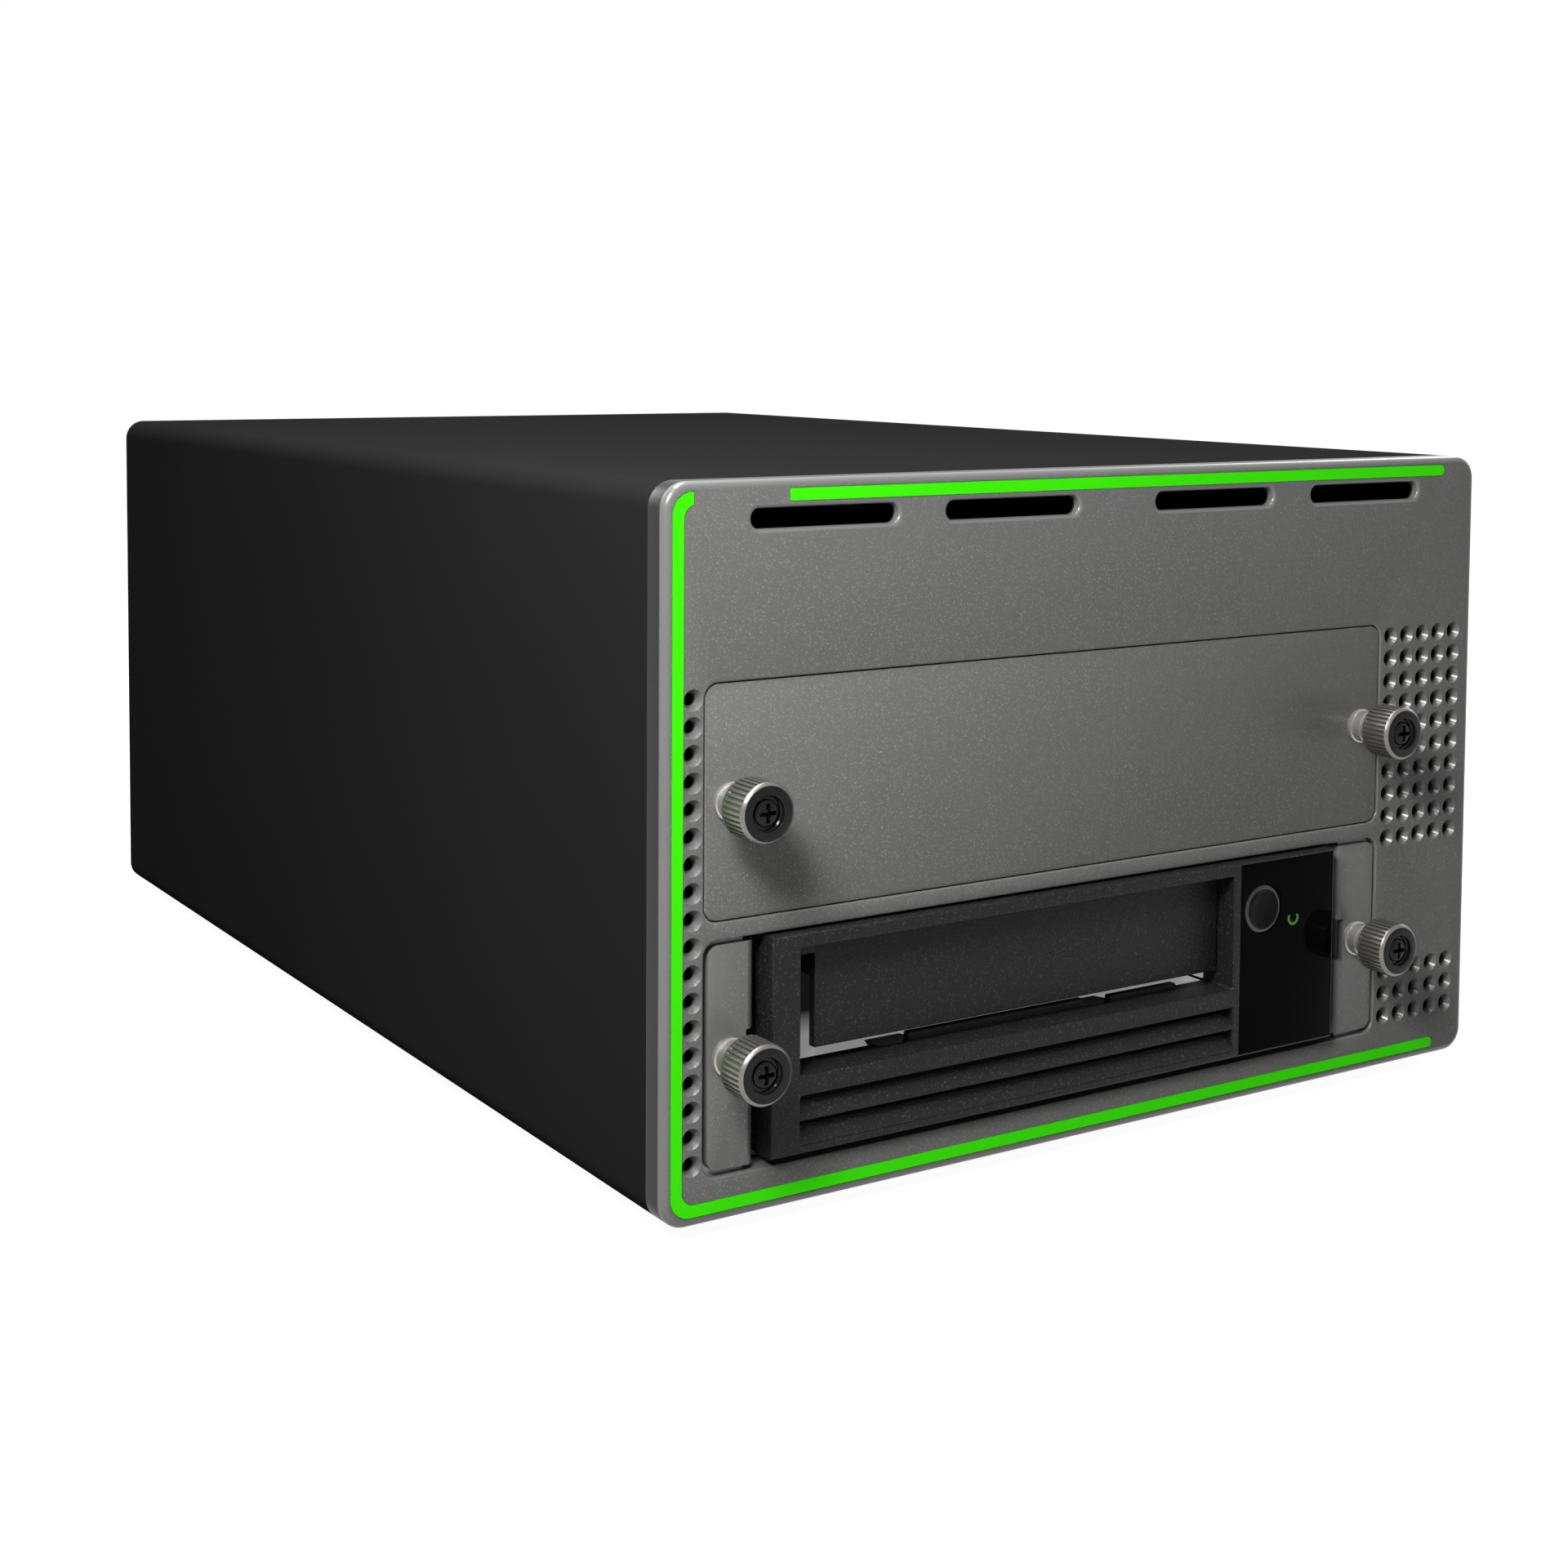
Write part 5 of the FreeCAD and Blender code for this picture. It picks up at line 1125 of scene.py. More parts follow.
# ------------------------------------------------------------------------------------- drive front
@dataclass
class DriveFront:
    """The drive's bezel, control panel, button, light and load door."""

    dresser: Dresser
    mouth_x: tuple[float, float] = (8.2, 116.7)
    mouth_z: tuple[float, float] = (14.7, 38.8)
    louvre_z: tuple[float, float] = (1.7, 10.9)
    pocket: float = 1.9
    panel_x: float = 118.5
    side_gap: float = 1.9
    slat_set_back: float = 2.0
    slat_flat: float = 0.6
    slat_gap: float = 1.5
    slat_deep: float = 7.0
    rim: float = 1.8
    button_gap: float = 0.12
    panel_gap: float = 0.05
    seat_depth: float = 1.2
    liner: float = 0.5
    light_wide: float = 0.6
    light_deep: float = 0.9
    door_thick: float = 1.8
    door_side: float = 5.6
    barrel: tuple[float, float] = (0.55, 1.15)
    guides: tuple[Triple, ...] = ((29.8, 44.0, 1.7), (81.0, 18.0, 1.2))
    notches: tuple[tuple[float, float], ...] = ((22.8, 7.0), (73.8, 7.2))

    def __post_init__(self) -> None:
        """Works out the mouth from the bezel's box."""
        self.box = Box.of("drive_bezel")
        b = self.box
        self.mouth = Box(b.x0 + self.mouth_x[0], b.y0, b.z0 + self.mouth_z[0],
                         b.x0 + self.mouth_x[1], b.y1, b.z0 + self.mouth_z[1])

    def build_bezel(self) -> None:
        """The textured bezel with its mouth, slats and panel seat."""
        b, m = self.box, self.mouth
        body = Bench.block("drive_front", Box(b.x0 + self.side_gap, b.y0, b.z0, b.x1, b.y1, b.z1))
        Bench.bevel(body, 0.5, 3, before(b.y0))
        Bench.carve(body, Bench.mouth_cutter("mouth", Box(m.x0, b.y0, m.z0, m.x1, b.y1 + 1, m.z1), 0.5, 0.35))
        pocket = Box(m.x0, b.y0 + 1.0, m.z1 - 1, m.x1, b.y1 + 1, m.z1 + self.pocket)
        Bench.carve(body, Bench.block("pocket", pocket))
        low, high = b.z0 + self.louvre_z[0], b.z0 + self.louvre_z[1]
        Bench.carve(body, Bench.mouth_cutter("grille", Box(m.x0, b.y0, low, m.x1, b.y1 + 1, high), 0.4, 0.3))
        seat = Box(b.x0 + self.panel_x, b.y0 - 1, b.z0 + 0.5, b.x1 - 0.5, b.y0 + self.seat_depth, b.z1 - 0.5)
        Bench.carve(body, Bench.block("seat", seat))
        behind = Box(b.x0 + self.panel_x, b.y0 + 5.1, b.z0 + 2, b.x1 - 2, b.y1 + 1, b.z1 - 2)
        Bench.carve(body, Bench.block("behind", behind))
        button = Box.of("eject_button")
        x, _, z = button.centre
        r = (button.x1 - button.x0) / 2 + self.button_gap
        Bench.carve(body, Bench.turned("hole", Axis.Y, (x, b.y0, z), [(-1, r), (12, r)], 48))
        step = (high - low) / 2
        for k in range(2):
            Bench.weld(body, self.slat(low + k * step, low + (k + 1) * step - self.slat_gap))
        for start, wide in self.notches:
            x = m.x0 + start
            notch = Box(x, b.y1 - self.rim, m.z0 - 0.8, x + wide, b.y1 + 1, m.z0 + 1)
            Bench.carve(body, Bench.block("notch", notch))
        for start, wide, tall in self.guides:
            x = m.x0 + start
            step_up = Box(x, b.y1 - self.rim, m.z0 - 0.5, x + wide, b.y1 - 0.1, m.z0 + tall)
            guide = Bench.block("guide", step_up)
            Bench.bevel(guide, 0.3, 2, lambda mid, run: mid.z > m.z0 + 0.5 and abs(run.z) < 0.5)
            Bench.weld(body, guide)
        self.dresser.put(body, "drive_bezel", angle=35.0)

    def build_liner(self) -> None:
        """Bent bright sheet behind the mouth's right end; its finish adds a painted glow."""
        b, t = Box.of("mouth_liner"), self.liner
        sheet = Bench.block("liner_sheet", b)
        room = Box(b.x0 + t, b.y0 + t, b.z0 - 1, b.x1 + 1, b.y1 + 1, b.z1 + 1)
        Bench.carve(sheet, Bench.block("room", room))
        Bench.round_edges(sheet, Axis.Z, 0.4, 4, lambda mid: mid.x < b.x0 + HAIR and mid.y < b.y0 + HAIR)
        self.dresser.put(sheet, "mouth_liner", finish="inner_sheet")

    def slat(self, z0: float, z1: float) -> bpy.types.Object:
        """One sloping slat, flush below and set back above."""
        b, m = self.box, self.mouth
        slat = Bench.block("slat", Box(m.x0 - 0.2, b.y0 + 0.02, z0, m.x1 + 0.2, b.y0 + self.slat_deep, z1))
        Bench.pick_faces(slat, lambda mid, normal: normal.y < -0.9)
        bpy.ops.mesh.subdivide(number_cuts=1)
        Bench.done()
        Bench.shift(slat, (0.0, self.slat_set_back, 0.0),
                    lambda mid, run: mid.y < b.y0 + 0.1 and abs(run.x) > 0.9 and mid.z > z1 - 0.05)
        Bench.shift(slat, (0.0, 0.0, (z0 + self.slat_flat) - (z0 + z1) / 2),
                    lambda mid, run: mid.y < b.y0 + 0.1 and abs(run.x) > 0.9 and z0 + 0.1 < mid.z < z1 - 0.1)
        return slat

    def build_panel(self) -> None:
        """Glossy panel with the button's hole."""
        p, gap = Box.of("control_panel"), self.panel_gap
        panel = Bench.block("gloss_panel", Box(p.x0 + gap, p.y0, p.z0 + gap, p.x1 - gap, p.y1, p.z1 - gap))
        Bench.soften(panel, 0.25, 3)
        button = Box.of("eject_button")
        x, _, z = button.centre
        r = (button.x1 - button.x0) / 2 + 0.14
        profile = [(-1.0, r + 0.3), (0.0, r + 0.3), (0.25, r), (3.0, r)]
        Bench.carve(panel, Bench.turned("hole", Axis.Y, (x, p.y0, z), profile, 56))
        self.dresser.put(panel, "control_panel")

    def build_light(self) -> None:
        """U-shaped light window."""
        b = Box.of("status_light")
        r, wide, deep = (b.x1 - b.x0) / 2, self.light_wide, self.light_deep
        at = (b.centre[0], b.y0 - 0.02, b.z0 + r)
        profile = [(0.0, r - wide), (0.0, r), (deep, r), (deep, r - wide)]
        ring = Bench.turned("light_arc", Axis.Y, at, profile, 40, ring=True)
        lid = Bench.block("lid", Box(b.x0 - 1, b.y0 - 2, b.z0 + r * 1.4, b.x1 + 1, b.y0 + 3, b.z1 + 3))
        self.dresser.put(Bench.carve(ring, lid), "status_light")

    def build_button(self) -> None:
        """Round button with a raised ring and a dished face."""
        b = Box.of("eject_button")
        r = (b.x1 - b.x0) / 2
        profile = [(0.95, 0.3), (0.9, 1.2), (0.75, 2.4), (0.5, 3.6), (0.28, 4.1), (0.06, 4.3), (0.0, 4.45),
                   (0.04, 4.7), (0.25, r - 0.12), (0.5, r), (4.8, r), (4.8, 2.0), (8.9, 2.0)]
        button = Bench.turned("round_button", Axis.Y, (b.centre[0], b.y0, b.centre[2]), profile, 64)
        self.dresser.put(button, "eject_button")
        self.dresser.touch_up(button, "ring_gloss", lambda mid: mid.y - b.y0 < 0.45 and
                              4.2 < math.hypot(mid.x - b.centre[0], mid.z - b.centre[2]) < r)

    def build_door(self) -> None:
        """Load door: a plate with soft edges, hung from a barrel."""
        d = Box.of("load_door")
        front, back = d.y0, d.y0 + self.door_thick
        flat = Box(d.x0 + self.door_side, front, d.z0, d.x1 - 0.3, back, d.z1 - 1.6)
        plate = Bench.block("door_plate", flat)
        head = Bench.block("head", Box(d.x0, front + HAIR, d.z1 - 3.6, d.x1, back - HAIR, d.z1 - 0.8))
        Bench.weld(plate, head)
        Bench.soften(plate, 0.35, 3)
        start, end = 0.13, d.x1 - d.x0 - 0.13
        bore, r = self.barrel
        barrel = Bench.turned("barrel", Axis.X, (d.x0, back - 0.1, d.z1 - 1.2),
                              [(start, bore), (start, r), (end, r), (end, bore)], 26, ring=True)
        self.dresser.put(Bench.weld(plate, barrel), "load_door")

    def build(self) -> None:
        """Builds all its pieces."""
        self.build_bezel()
        self.build_liner()
        self.build_panel()
        self.build_light()
        self.build_button()
        self.build_door()


# ------------------------------------------------------------------------------------- rear
@dataclass
class Hardware:
    """Small screws, modelled once and copied."""

    dresser: Dresser
    head_r: float = 2.9
    head_h: float = 1.5
    sides: int = 20

    def screw(self, name: str, axis: Axis, at: Triple, outward: float) -> bpy.types.Object:
        """A pan-head screw with a cross recess.

        Args:
            name: the piece's name.
            axis: the screw's axis.
            at: the middle of the seat under the head.
            outward: 1 or -1, the way the head points along the axis.

        Returns:
            The screw.
        """
        r, h, o = self.head_r, self.head_h, outward
        profile = [(-1.2 * o, r * 0.45), (-0.02 * o, r * 0.45), (-0.02 * o, r), (h * 0.45 * o, r * 0.98),
                   (h * 0.8 * o, r * 0.8), (h * o, r * 0.45), (h * o, r * 0.1)]
        head = Bench.turned(name, axis, at, profile, self.sides)
        top = Vector(at) + axis.unit() * (h * o)
        for flat in (0, 1):
            half = [0.32, 0.32, 0.32]
            half[axis.value] = 0.7
            others = [i for i in range(3) if i != axis.value]
            half[others[flat]] = r * 0.55
            low, high = [top[i] - half[i] for i in range(3)], [top[i] + half[i] for i in range(3)]
            Bench.carve(head, Bench.block("cross", Box(*low, *high)))
        return head

    def row(self, name: str, node: str, axis: Axis, spots: Sequence[Triple], outward: float) -> None:
        """Copies of one screw at several places, as one piece."""
        first = self.screw(name, axis, spots[0], outward)
        step = [tuple(b - a for a, b in zip(spots[0], spot)) for spot in spots[1:]]
        copies = [first] + [Bench.copy(first, name, move) for move in step]
        self.dresser.put(Bench.gather(name, copies), node, stands_for=False, finish="nut_steel")


@dataclass
class Rear:
    """Rear panel, fan, mains inlet, rocker switch and ports."""

    dresser: Dresser
    corner: float = 2.7
    fan_bore: float = 38.0
    fan_hub: float = 17.5
    fan_deep: float = 25.0
    mount_r: float = 2.2
    waist: tuple[float, float] = (41.0, 5.0)
    arm_half: float = 2.0
    rotor_r: float = 17.45
    blades: int = 7
    blade_r: tuple[float, float] = (16.5, 36.0)
    blade_half: tuple[float, float] = (0.7, 11.5)
    blade_turn: tuple[float, float] = (52.0, -18.0)
    rib_half: float = 1.6
    slot_pitch: float = 6.6
    slot_half: float = 2.1
    rocker_tilt: float = 8.0
    rocker: tuple[float, float] = (4.9, 8.0)
    rocker_dip: float = 2.2
    fan_mount: float = 35.75
    corner_screw: float = 97.0
    screw_edge: float = 5.5
    shelf_screws: tuple[float, ...] = (-92.0, -10.0)
    shelf_drop: float = 6.0
    host_wide: float = 9.0

    def __post_init__(self) -> None:
        """Reads the places of the rear pieces."""
        self.panel = Box.of("rear_panel")
        self.fan = Box.of("fan_frame")
        self.inlet = Box.of("mains_inlet")
        self.switch = Box.of("rocker_frame")
        self.hosts = Box.of("host_ports")
        self.wide = Box.of("sas_port")

    def build_panel(self) -> None:
        """The panel, with rounded guard slots and its openings."""
        p = self.panel
        plate = Bench.bar("rear_plate", p, Axis.Y, self.corner, 8)
        Bench.bevel(plate, 0.2, 2, beyond(p.y1))
        y0, y1 = p.y0 - 1, p.y1 + 1
        x, _, z = self.fan.centre
        cuts = []
        for k in range(-5, 6):
            h = self.slot_pitch * k
            reach = math.sqrt((self.fan_bore - 1.0) ** 2 - (abs(h) + self.slot_half) ** 2)
            for a, b in ((-reach, -self.rib_half), (self.rib_half, reach)):
                slot = Box(x + a, y0, z + h - self.slot_half, x + b, y1, z + h + self.slot_half)
                cuts.append(Bench.bar("guard", slot, Axis.Y, 1.6, 4))
        i, w, r = self.inlet, self.wide, self.switch
        cuts.append(Bench.block("inlet", Box(i.x0 + 1.6, y0, i.z0 + 1.6, i.x1 - 1.6, y1, i.z1 - 1.6)))
        cuts.append(Bench.block("switch", Box(r.x0 + 1.05, y0, r.z0 + 1.05, r.x1 - 1.05, y1, r.z1 - 1.05)))
        cuts.append(Bench.bar("wide", w.inset(x=-0.4, y=-3, z=-0.3), Axis.Y, 0.8, 4))
        for x0 in (self.hosts.x0, self.hosts.x1 - self.host_wide):
            host = Box(x0 - 0.4, y0, self.hosts.z0 - 0.3, x0 + self.host_wide + 0.4, y1, self.hosts.z1 + 0.3)
            cuts.append(Bench.bar("host", host, Axis.Y, 1.6, 5))
        Bench.carve(plate, *cuts)
        self.dresser.put(plate, "rear_panel")

    def build_fan(self) -> None:
        """Fan frame with rounded corners, and a rotor with seven twisted blades."""
        f = self.fan
        x, _, z = f.centre
        body = Bench.bar("fan_body", f, Axis.Y, 4.0, 6)
        bore, hub, deep = self.fan_bore, self.fan_hub, self.fan_deep
        opening = [(-1, bore + 1.0), (0.0, bore + 1.0), (1.2, bore), (deep - 1.2, bore),
                   (deep, bore + 1.0), (deep + 1.0, bore + 1.0)]
        Bench.carve(body, Bench.turned("bore", Axis.Y, (x, f.y0, z), opening, 72))
        centre, half = self.waist
        for sx in (-1, 1):
            for sz in (-1, 1):
                at = (x + sx * self.fan_mount, f.y0, z + sz * self.fan_mount)
                hole = [(-1, self.mount_r), (22.0, self.mount_r)]
                Bench.carve(body, Bench.turned("mount", Axis.Y, at, hole, 20))
                waist = Box(x + sx * centre - half, f.y0 + 4, z + sz * centre - half,
                            x + sx * centre + half, f.y1 - 4, z + sz * centre + half)
                Bench.carve(body, Bench.block("waist", waist))
        seat = [(-3.0, 16.5), (-2.6, hub), (-0.3, hub), (0.0, hub - 0.3)]
        parts = [Bench.turned("hub_seat", Axis.Y, (x, f.y1, z), seat, 48)]
        for turn in range(4):
            spoke = Box(x + 14, f.y1 - 3, z - self.arm_half, x + bore + 1, f.y1, z + self.arm_half)
            arm = Bench.block("arm", spoke)
            Bench.soften(arm, 0.5, 2)
            self.spin(arm, Axis.Y, (x, 0.0, z), 45 + 90 * turn)
            parts.append(arm)
        Bench.weld(body, *parts)
        self.dresser.put(body, "fan_frame")
        self.build_rotor(x, z)

    def build_rotor(self, x: float, z: float) -> None:
        """Hub and blades."""
        r = Box.of("fan_rotor")
        deep, mid = r.y1 - r.y0, r.centre[1]
        profile = [(0.0, 12.0), (0.0, 16.2), (0.4, 17.0), (1.2, self.rotor_r), (deep, self.rotor_r),
                   (deep, 15.0), (deep - 2.0, 14.8), (deep - 2.0, 1.8), (1.6, 1.8)]
        rotor = Bench.turned("rotor_hub", Axis.Y, (x, r.y0, z), profile, 48)
        (root, tip), (thin, wide), (pitch, twist) = self.blade_r, self.blade_half, self.blade_turn
        blade = Bench.block("blade", Box(-thin, -wide, root, thin, wide, tip))
        Bench.round_edges(blade, Axis.Z, 0.6, 2)
        Bench.split(blade, 8, lambda mid, run: abs(run.z) > 0.99)
        Bench.apply(blade, "SIMPLE_DEFORM", deform_method="TWIST", deform_axis="Z", angle=math.radians(twist))
        self.spin(blade, Axis.Z, (0.0, 0.0, 0.0), pitch)
        blade.location = Vector((x, mid, z)) * MM
        Bench.only(blade)
        bpy.ops.object.transform_apply(location=True, rotation=True, scale=True)
        blades = [blade]
        for k in range(1, self.blades):
            twin = Bench.copy(blade, "blade", (0.0, 0.0, 0.0))
            self.spin(twin, Axis.Y, (x, 0.0, z), 360.0 * k / self.blades)
            blades.append(twin)
        Bench.weld(rotor, *blades)
        self.dresser.put(rotor, "fan_rotor")

    @staticmethod
    def spin(obj: bpy.types.Object, axis: Axis, about: Triple, degrees: float) -> None:
        """Turns a piece about an axis through a point and applies the turn."""
        point = Vector(about) * MM
        turn = Matrix.Rotation(math.radians(degrees), 4, axis.unit())
        obj.matrix_world = Matrix.Translation(point) @ turn @ Matrix.Translation(-point)
        Bench.only(obj)
        bpy.ops.object.transform_apply(location=True, rotation=True, scale=True)

    def build_inlet(self) -> None:
        """Appliance inlet: soft flange and a cavity with two cut corners."""
        i = self.inlet
        x, _, z = i.centre
        body = Bench.bar("inlet_flange", Box(i.x0, i.y1 - 2.5, i.z0, i.x1, i.y1, i.z1), Axis.Y, 2.0, 6)
        Bench.bevel(body, 0.5, 3, beyond(i.y1))
        Bench.weld(body, Bench.block("shroud", Box(x - 13.5, i.y0, z - 9.9, x + 13.5, i.y1 - 2.0, z + 9.9)))
        cavity = Bench.block("cavity", Box(x - 12.2, i.y0 + 6.0, z - 8.2, x + 12.2, i.y1 + 4, z + 8.2))
        Bench.round_edges(cavity, Axis.Y, 4.0, 1, lambda mid: mid.z > z + 8)
        Bench.round_edges(cavity, Axis.Y, 0.8, 4, lambda mid: mid.z < z - 8)
        self.dresser.put(Bench.carve(body, cavity), "mains_inlet")
        pins = Box.of("inlet_pins")
        made = []
        for dx, dz in ((-7.0, -2.0), (7.0, -2.0), (0.0, 2.0)):
            pin = Bench.block("pin", Box(x + dx - 1, pins.y0, z + dz - 2, x + dx + 1, pins.y1, z + dz + 2))
            made.append(Bench.soften(pin, 0.35, 2))
        self.dresser.put(Bench.gather("inlet_blades", made), "inlet_pins")

    def build_switch(self) -> None:
        """Rocker switch: soft frame, a rocker with two hollow faces and its on and off marks."""
        r = self.switch
        x, _, z = r.centre
        flange = Bench.bar("switch_flange", Box(r.x0, r.y1 - 2.0, r.z0, r.x1, r.y1, r.z1), Axis.Y, 1.0, 5)
        Bench.bevel(flange, 0.4, 3, beyond(r.y1))
        body = Box(r.x0 + 1.1, r.y0, r.z0 + 1.1, r.x1 - 1.1, r.y1 - 1.5, r.z1 - 1.1)
        Bench.weld(flange, Bench.block("body", body))
        Bench.carve(flange, Bench.block("well", Box(x - 5.2, r.y0 + 2, z - 9.3, x + 5.2, r.y1 + 3, z + 9.3)))
        self.dresser.put(flange, "rocker_frame")
        pivot, rise = self.panel.y1 - 3.0, 7.2
        wide, half = self.rocker
        cap = Box(x - wide, pivot - 4.0, z - half, x + wide, pivot + rise, z + half)
        rocker = Bench.block("rocker_cap", cap)
        Bench.split(rocker, 7, lambda mid, run: abs(run.z) > 0.9 and mid.y > pivot)
        for step in range(-3, 4):
            height = z + step * half / 4
            dip = -self.rocker_dip * (1 - abs(step) / 4.0) ** 0.8
            Bench.shift(rocker, (0.0, dip, 0.0),
                        lambda mid, run: abs(run.x) > 0.9 and mid.y > pivot and abs(mid.z - height) < 0.3)
        Bench.bevel(rocker, 4.6, 1, lambda mid, run: abs(run.x) > 0.9 and mid.y < pivot)
        Bench.bevel(rocker, 0.3, 2, lambda mid, run: mid.y > pivot + 3 and
                    (abs(abs(mid.x - x) - wide) < HAIR or abs(abs(mid.z - z) - half) < HAIR))
        bar = Bench.block("bar_mark", Box(x - 0.4, pivot + 3, z + 3.6, x + 0.4, pivot + rise - 0.55, z + 6.6))
        ring = Bench.turned("ring_mark", Axis.Y, (x, pivot, z - 5.0),
                            [(3.0, 0.9), (3.0, 1.55), (rise - 0.6, 1.55), (rise - 0.6, 0.9)], 28, ring=True)
        marks = Bench.gather("switch_marks", [bar, ring])
        shell = Bench.copy(rocker, "shell", (0.0, 0.06, 0.0))
        Bench.boolean(marks, [shell], "INTERSECT")
        for piece in (rocker, marks):
            self.spin(piece, Axis.X, (0.0, pivot, z), -self.rocker_tilt)
        self.dresser.put(rocker, "power_rocker")
        self.dresser.put(marks, "power_rocker", stands_for=False, finish="mark_white")

    def build_ports(self) -> None:
        """Two small round-ended ports and one wide shielded port."""
        h, w = self.hosts, self.wide
        made = []
        for x0 in (h.x0, h.x1 - self.host_wide):
            x1 = x0 + self.host_wide
            shell = Bench.bar("port_shell", Box(x0, h.y0, h.z0, x1, h.y1, h.z1), Axis.Y, 1.55, 8)
            room = Box(x0 + 0.3, h.y0 + 2, h.z0 + 0.3, x1 - 0.3, h.y1 + 1, h.z1 - 0.3)
            Bench.carve(shell, Bench.bar("room", room, Axis.Y, 1.3, 8))
            card = Box(x0 + 1.3, h.y0 + 1, h.z0 + 1.35, x1 - 1.3, h.y1 - 1.0, h.z0 + 1.95)
            tongue = Bench.block("tongue", card)
            made += [Bench.soften(shell, 0.08, 2), Bench.soften(tongue, 0.15, 2)]
        self.dresser.put(Bench.gather("round_ports", made), "host_ports")
        shell = Bench.bar("wide_shell", w, Axis.Y, 0.7, 5)
        room = Box(w.x0 + 0.6, w.y0 + 6, w.z0 + 0.6, w.x1 - 0.6, w.y1 + 1, w.z1 - 0.6)
        Bench.carve(shell, Bench.bar("room", room, Axis.Y, 0.4, 3))
        cards = []
        for z in (2.6, 6.0):
            card = Box(w.x0 + 2, w.y0 + 5, w.z0 + z, w.x1 - 2, w.y1 - 3.2, w.z0 + z + 1)
            cards.append(Bench.soften(Bench.block("card", card), 0.15, 2))
        self.dresser.put(Bench.gather("wide_port", [Bench.soften(shell, 0.12, 2)] + cards), "sas_port")

    def build_screws(self) -> None:
        """Screws that hold the panel, the fan and the rear shelf."""
        hardware = Hardware(self.dresser)
        p, m = self.panel, self.fan_mount
        x, _, z = self.fan.centre
        spots = [(x + sx * m, p.y1, z + sz * m) for sx in (-1, 1) for sz in (-1, 1)]
        spots += [(sx * self.corner_screw, p.y1, h) for sx in (-1, 1)
                  for h in (p.z0 + self.screw_edge, p.z1 - self.screw_edge)]
        spots += [(sx, p.y1, self.wide.z0 - self.shelf_drop) for sx in self.shelf_screws]
        hardware.row("panel_screws", "rear_panel", Axis.Y, spots, 1.0)

    def build(self) -> None:
        """Builds all its pieces."""
        self.build_panel()
        self.build_fan()
        self.build_inlet()
        self.build_switch()
        self.build_ports()
        self.build_screws()


# ------------------------------------------------------------------------------------- drive body
@dataclass
class DriveBody:
    """The drive's lid with its pressed field, and the screws on lid and tray."""

    dresser: Dresser
    field: float = 0.35
    rib_places: tuple[float, ...] = (70.0, 100.0, 130.0)
    lid_screws: tuple[float, ...] = (8.0, 70.0, 135.0)
    tray_sheet: float = 1.5
    side_height: float = 12.0
    side_screws: tuple[float, ...] = (40.0, 110.0, 170.0)

    def build_lid(self) -> None:
        """Lid with a raised field, softened edges and three ribs below."""
        b, case = Box.of("drive_lid"), Box.of("drive_case")
        z = case.z1
        lid = Bench.block("lid_sheet", Box(b.x0, b.y0, z, b.x1, b.y1, b.z1 - self.field))
        ring = Box(b.x0 + 10, b.y0 + 14, b.z1 - self.field - 0.1, b.x1 - 10, b.y1 - 12, b.z1)
        raised = Bench.bar("field", ring, Axis.Z, 8.0, 8)
        Bench.bevel(raised, 0.3, 3, lambda mid, run: mid.z > b.z1 - HAIR)
        ribs = [Bench.block("rib", Box(b.x0 + 20, case.y0 + d - 7, b.z0, b.x1 - 20, case.y0 + d - 1, z + 0.1))
                for d in self.rib_places]
        Bench.weld(lid, raised, *ribs)
        self.dresser.put(lid, "drive_lid")

    def build_screws(self) -> None:
        """Countersunk-looking screws along the lid's edge and the tray's left wall."""
        lid, case = Box.of("drive_lid"), Box.of("drive_case")
        small = Hardware(self.dresser, head_r=2.0, head_h=0.3, sides=16)
        places = [lid.y0 + d for d in self.lid_screws] + [lid.y1 - self.lid_screws[0]]
        spots = [(x, y, lid.z1 - self.field) for x in (lid.x0 + 5, lid.x1 - 5) for y in places]
        small.row("lid_screws", "drive_lid", Axis.Z, spots, 1.0)
        wall = Hardware(self.dresser, head_r=2.4, head_h=0.25, sides=16)
        x, z = case.x0 - self.tray_sheet, case.z0 + self.side_height
        wall.row("left_screws", "tray_pan", Axis.X, [(x, case.y0 + d, z) for d in self.side_screws], -1.0)

    def build(self) -> None:
        """Builds all its pieces."""
        self.build_lid()
        self.build_screws()


# ------------------------------------------------------------------------------------- studio
@dataclass(frozen=True)
class Lamp:
    """An oblong area lamp: its place and sides in metres, its power in watts."""

    name: str
    at: Triple
    size: tuple[float, float]
    power: float

    def build(self, aim: Triple) -> None:
        """Puts the lamp in the scene, turned to a point given in metres."""
        data = bpy.data.lights.new(self.name, "AREA")
        data.shape = "RECTANGLE"
        data.size, data.size_y = self.size
        data.energy = self.power
        lamp = bpy.data.objects.new(self.name, data)
        bpy.context.scene.collection.objects.link(lamp)
        lamp.location = self.at
        lamp.visible_camera = False
        lamp.rotation_euler = (Vector(aim) - Vector(self.at)).to_track_quat("-Z", "Y").to_euler()


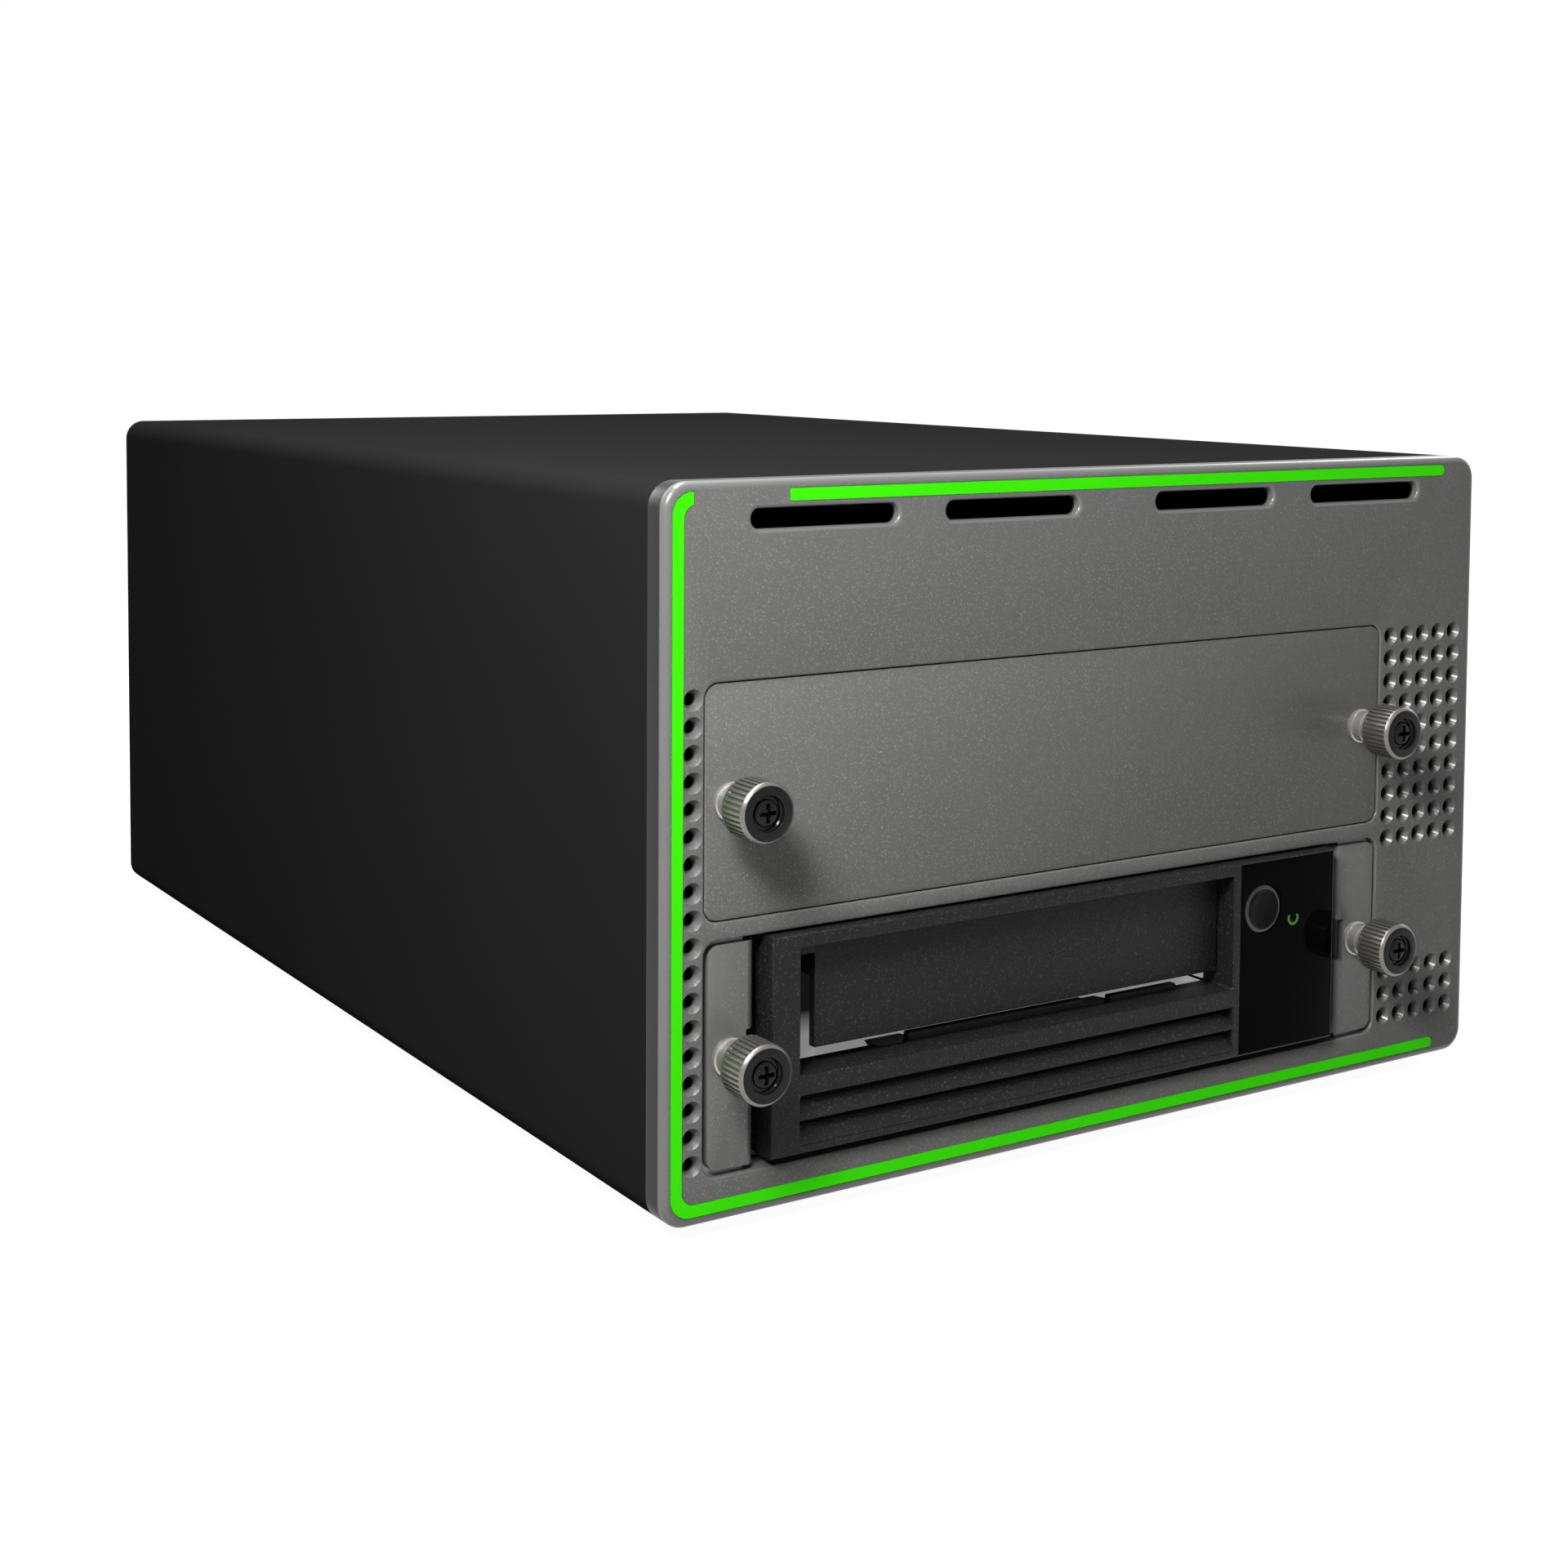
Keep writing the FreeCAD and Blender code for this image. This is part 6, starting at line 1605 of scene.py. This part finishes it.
@dataclass
class Studio:
    """Floor, lamps, world and camera."""

    yaw: float = 32.659
    pitch: float = -3.388
    roll: float = 0.368
    stand: Triple = (-305.25, -351.45, 164.12)
    lens: float = 52.74
    shift: float = -0.198
    ambient: float = 0.035
    aim: Triple = (0.0, 0.0, 0.07)
    floor_white: tuple[float, float] = (0.960, 1.0)
    floor_reach: tuple[float, float] = (0.35, 0.7)
    lamps: tuple[Lamp, ...] = (
        Lamp("key", (-0.30, -0.33, 0.33), (0.12, 0.12), 2.95),
        Lamp("high", (-0.14, -0.26, 0.66), (0.16, 0.16), 2.0),
        Lamp("top", (0.0, 0.08, 0.95), (0.5, 0.5), 9.0),
        Lamp("low", (-0.2, -1.4, 0.16), (0.3, 0.2), 0.28),
        Lamp("right", (1.1, 0.35, 0.6), (0.6, 0.6), 6.0),
        Lamp("back", (-0.35, 1.2, 0.6), (0.6, 0.6), 11.0),
    )

    def build_camera(self) -> None:
        """The camera, placed from the front face."""
        yaw, pitch, roll = (math.radians(v) for v in (self.yaw, self.pitch, self.roll))
        ahead = Vector((math.sin(yaw) * math.cos(pitch), math.cos(yaw) * math.cos(pitch), math.sin(pitch)))
        right = Vector((math.cos(yaw), -math.sin(yaw), 0.0))
        up = right.cross(ahead)
        side = right * math.cos(roll) + up * math.sin(roll)
        top = up * math.cos(roll) - right * math.sin(roll)
        turn = Matrix((side, top, -ahead)).transposed()
        data = bpy.data.cameras.new("camera")
        data.lens = self.lens
        data.shift_y = self.shift
        data.clip_start, data.clip_end = 0.01, 50.0
        camera = bpy.data.objects.new("camera", data)
        bpy.context.scene.collection.objects.link(camera)
        x, y, z = self.stand
        front = Box.of("front_bezel").y0
        camera.matrix_world = Matrix.Translation(Vector((x, front + y, z)) * MM) @ turn.to_4x4()
        bpy.context.scene.camera = camera

    def build_floor(self) -> None:
        """A pale floor that stays white where nothing shades it, with its white a little dimmer near the object:
        painted shade round it.
        """
        Bench.only()
        bpy.ops.mesh.primitive_plane_add(size=30.0, location=(0.0, 0.0, 0.0))
        floor = Bench.settle("floor")
        graph = Graph(bpy.data.materials.new("floor"))
        slow = graph.noise(graph.place(), 900.0, 1.0)
        colour = graph.mix(slow, (0.22, 0.22, 0.22, 1.0), (0.24, 0.24, 0.24, 1.0))
        here = graph.node("ShaderNodeTexCoord", {}, {}, "Object")
        length = graph.node("ShaderNodeVectorMath", {"operation": "LENGTH"}, [here], "Value")
        near, far = ((tone, tone, tone, 1.0) for tone in self.floor_white)
        # Painted shade: the camera-seen white is dimmer within floor_reach of the object than far off.
        white = graph.mix(length.above(*self.floor_reach), near, far)
        surface = graph.node("ShaderNodeBsdfPrincipled", {}, {
            "Base Color": colour, "Roughness": 0.9, "Specular IOR Level": 0.0, "Emission Strength": 1.0,
            "Emission Color": graph.mix(self.seen(graph), (0.0, 0.0, 0.0, 1.0), white)})
        floor.data.materials.append(graph.close(surface))
        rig.stage(floor)

    def build_world(self) -> None:
        """White where it is seen or mirrored, a dimmer even light on the object."""
        graph = Graph(bpy.data.worlds.new("studio"))
        seen = self.seen(graph) * (1.0 - self.ambient) + self.ambient
        light = graph.node("ShaderNodeBackground", {}, {"Color": (1.0, 1.0, 1.0, 1.0), "Strength": seen})
        bpy.context.scene.world = graph.close(light, "ShaderNodeOutputWorld")

    @staticmethod
    def seen(graph: "Graph") -> Socket:
        """1 for rays from the camera, from a mirror or through glass."""
        rays = graph.tree.nodes.new("ShaderNodeLightPath")
        camera, glossy, through = (Socket(graph, rays.outputs[kind]) for kind in (
            "Is Camera Ray", "Is Glossy Ray", "Is Transmission Ray"))
        return (camera + glossy + through).clamp()

    def build(self) -> None:
        """Builds the studio."""
        self.build_camera()
        self.build_floor()
        self.build_world()
        for lamp in self.lamps:
            lamp.build(self.aim)
        bpy.context.scene.view_settings.view_transform = "Standard"


def main() -> None:
    """Builds the object's pieces in order, then the studio."""
    dresser = Dresser()
    dresser.frame_nodes(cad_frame["nodes"])
    parts = [kind(dresser) for kind in (Enclosure, Thumbscrews, Covers, DriveFront, Rear, DriveBody)]
    for part in parts:
        part.build()
        LOG.info("%s finished", type(part).__name__)
    Studio().build()


if __name__ == "__main__":
    logging.basicConfig(level=logging.INFO, format="%(message)s")
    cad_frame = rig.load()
    frame_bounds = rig.bounds()
    main()
    shown_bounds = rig.bounds()
    with open("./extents.json", "w") as report:
        json.dump({"cad": [list(v) for v in frame_bounds], "visual": [list(v) for v in shown_bounds]}, report)
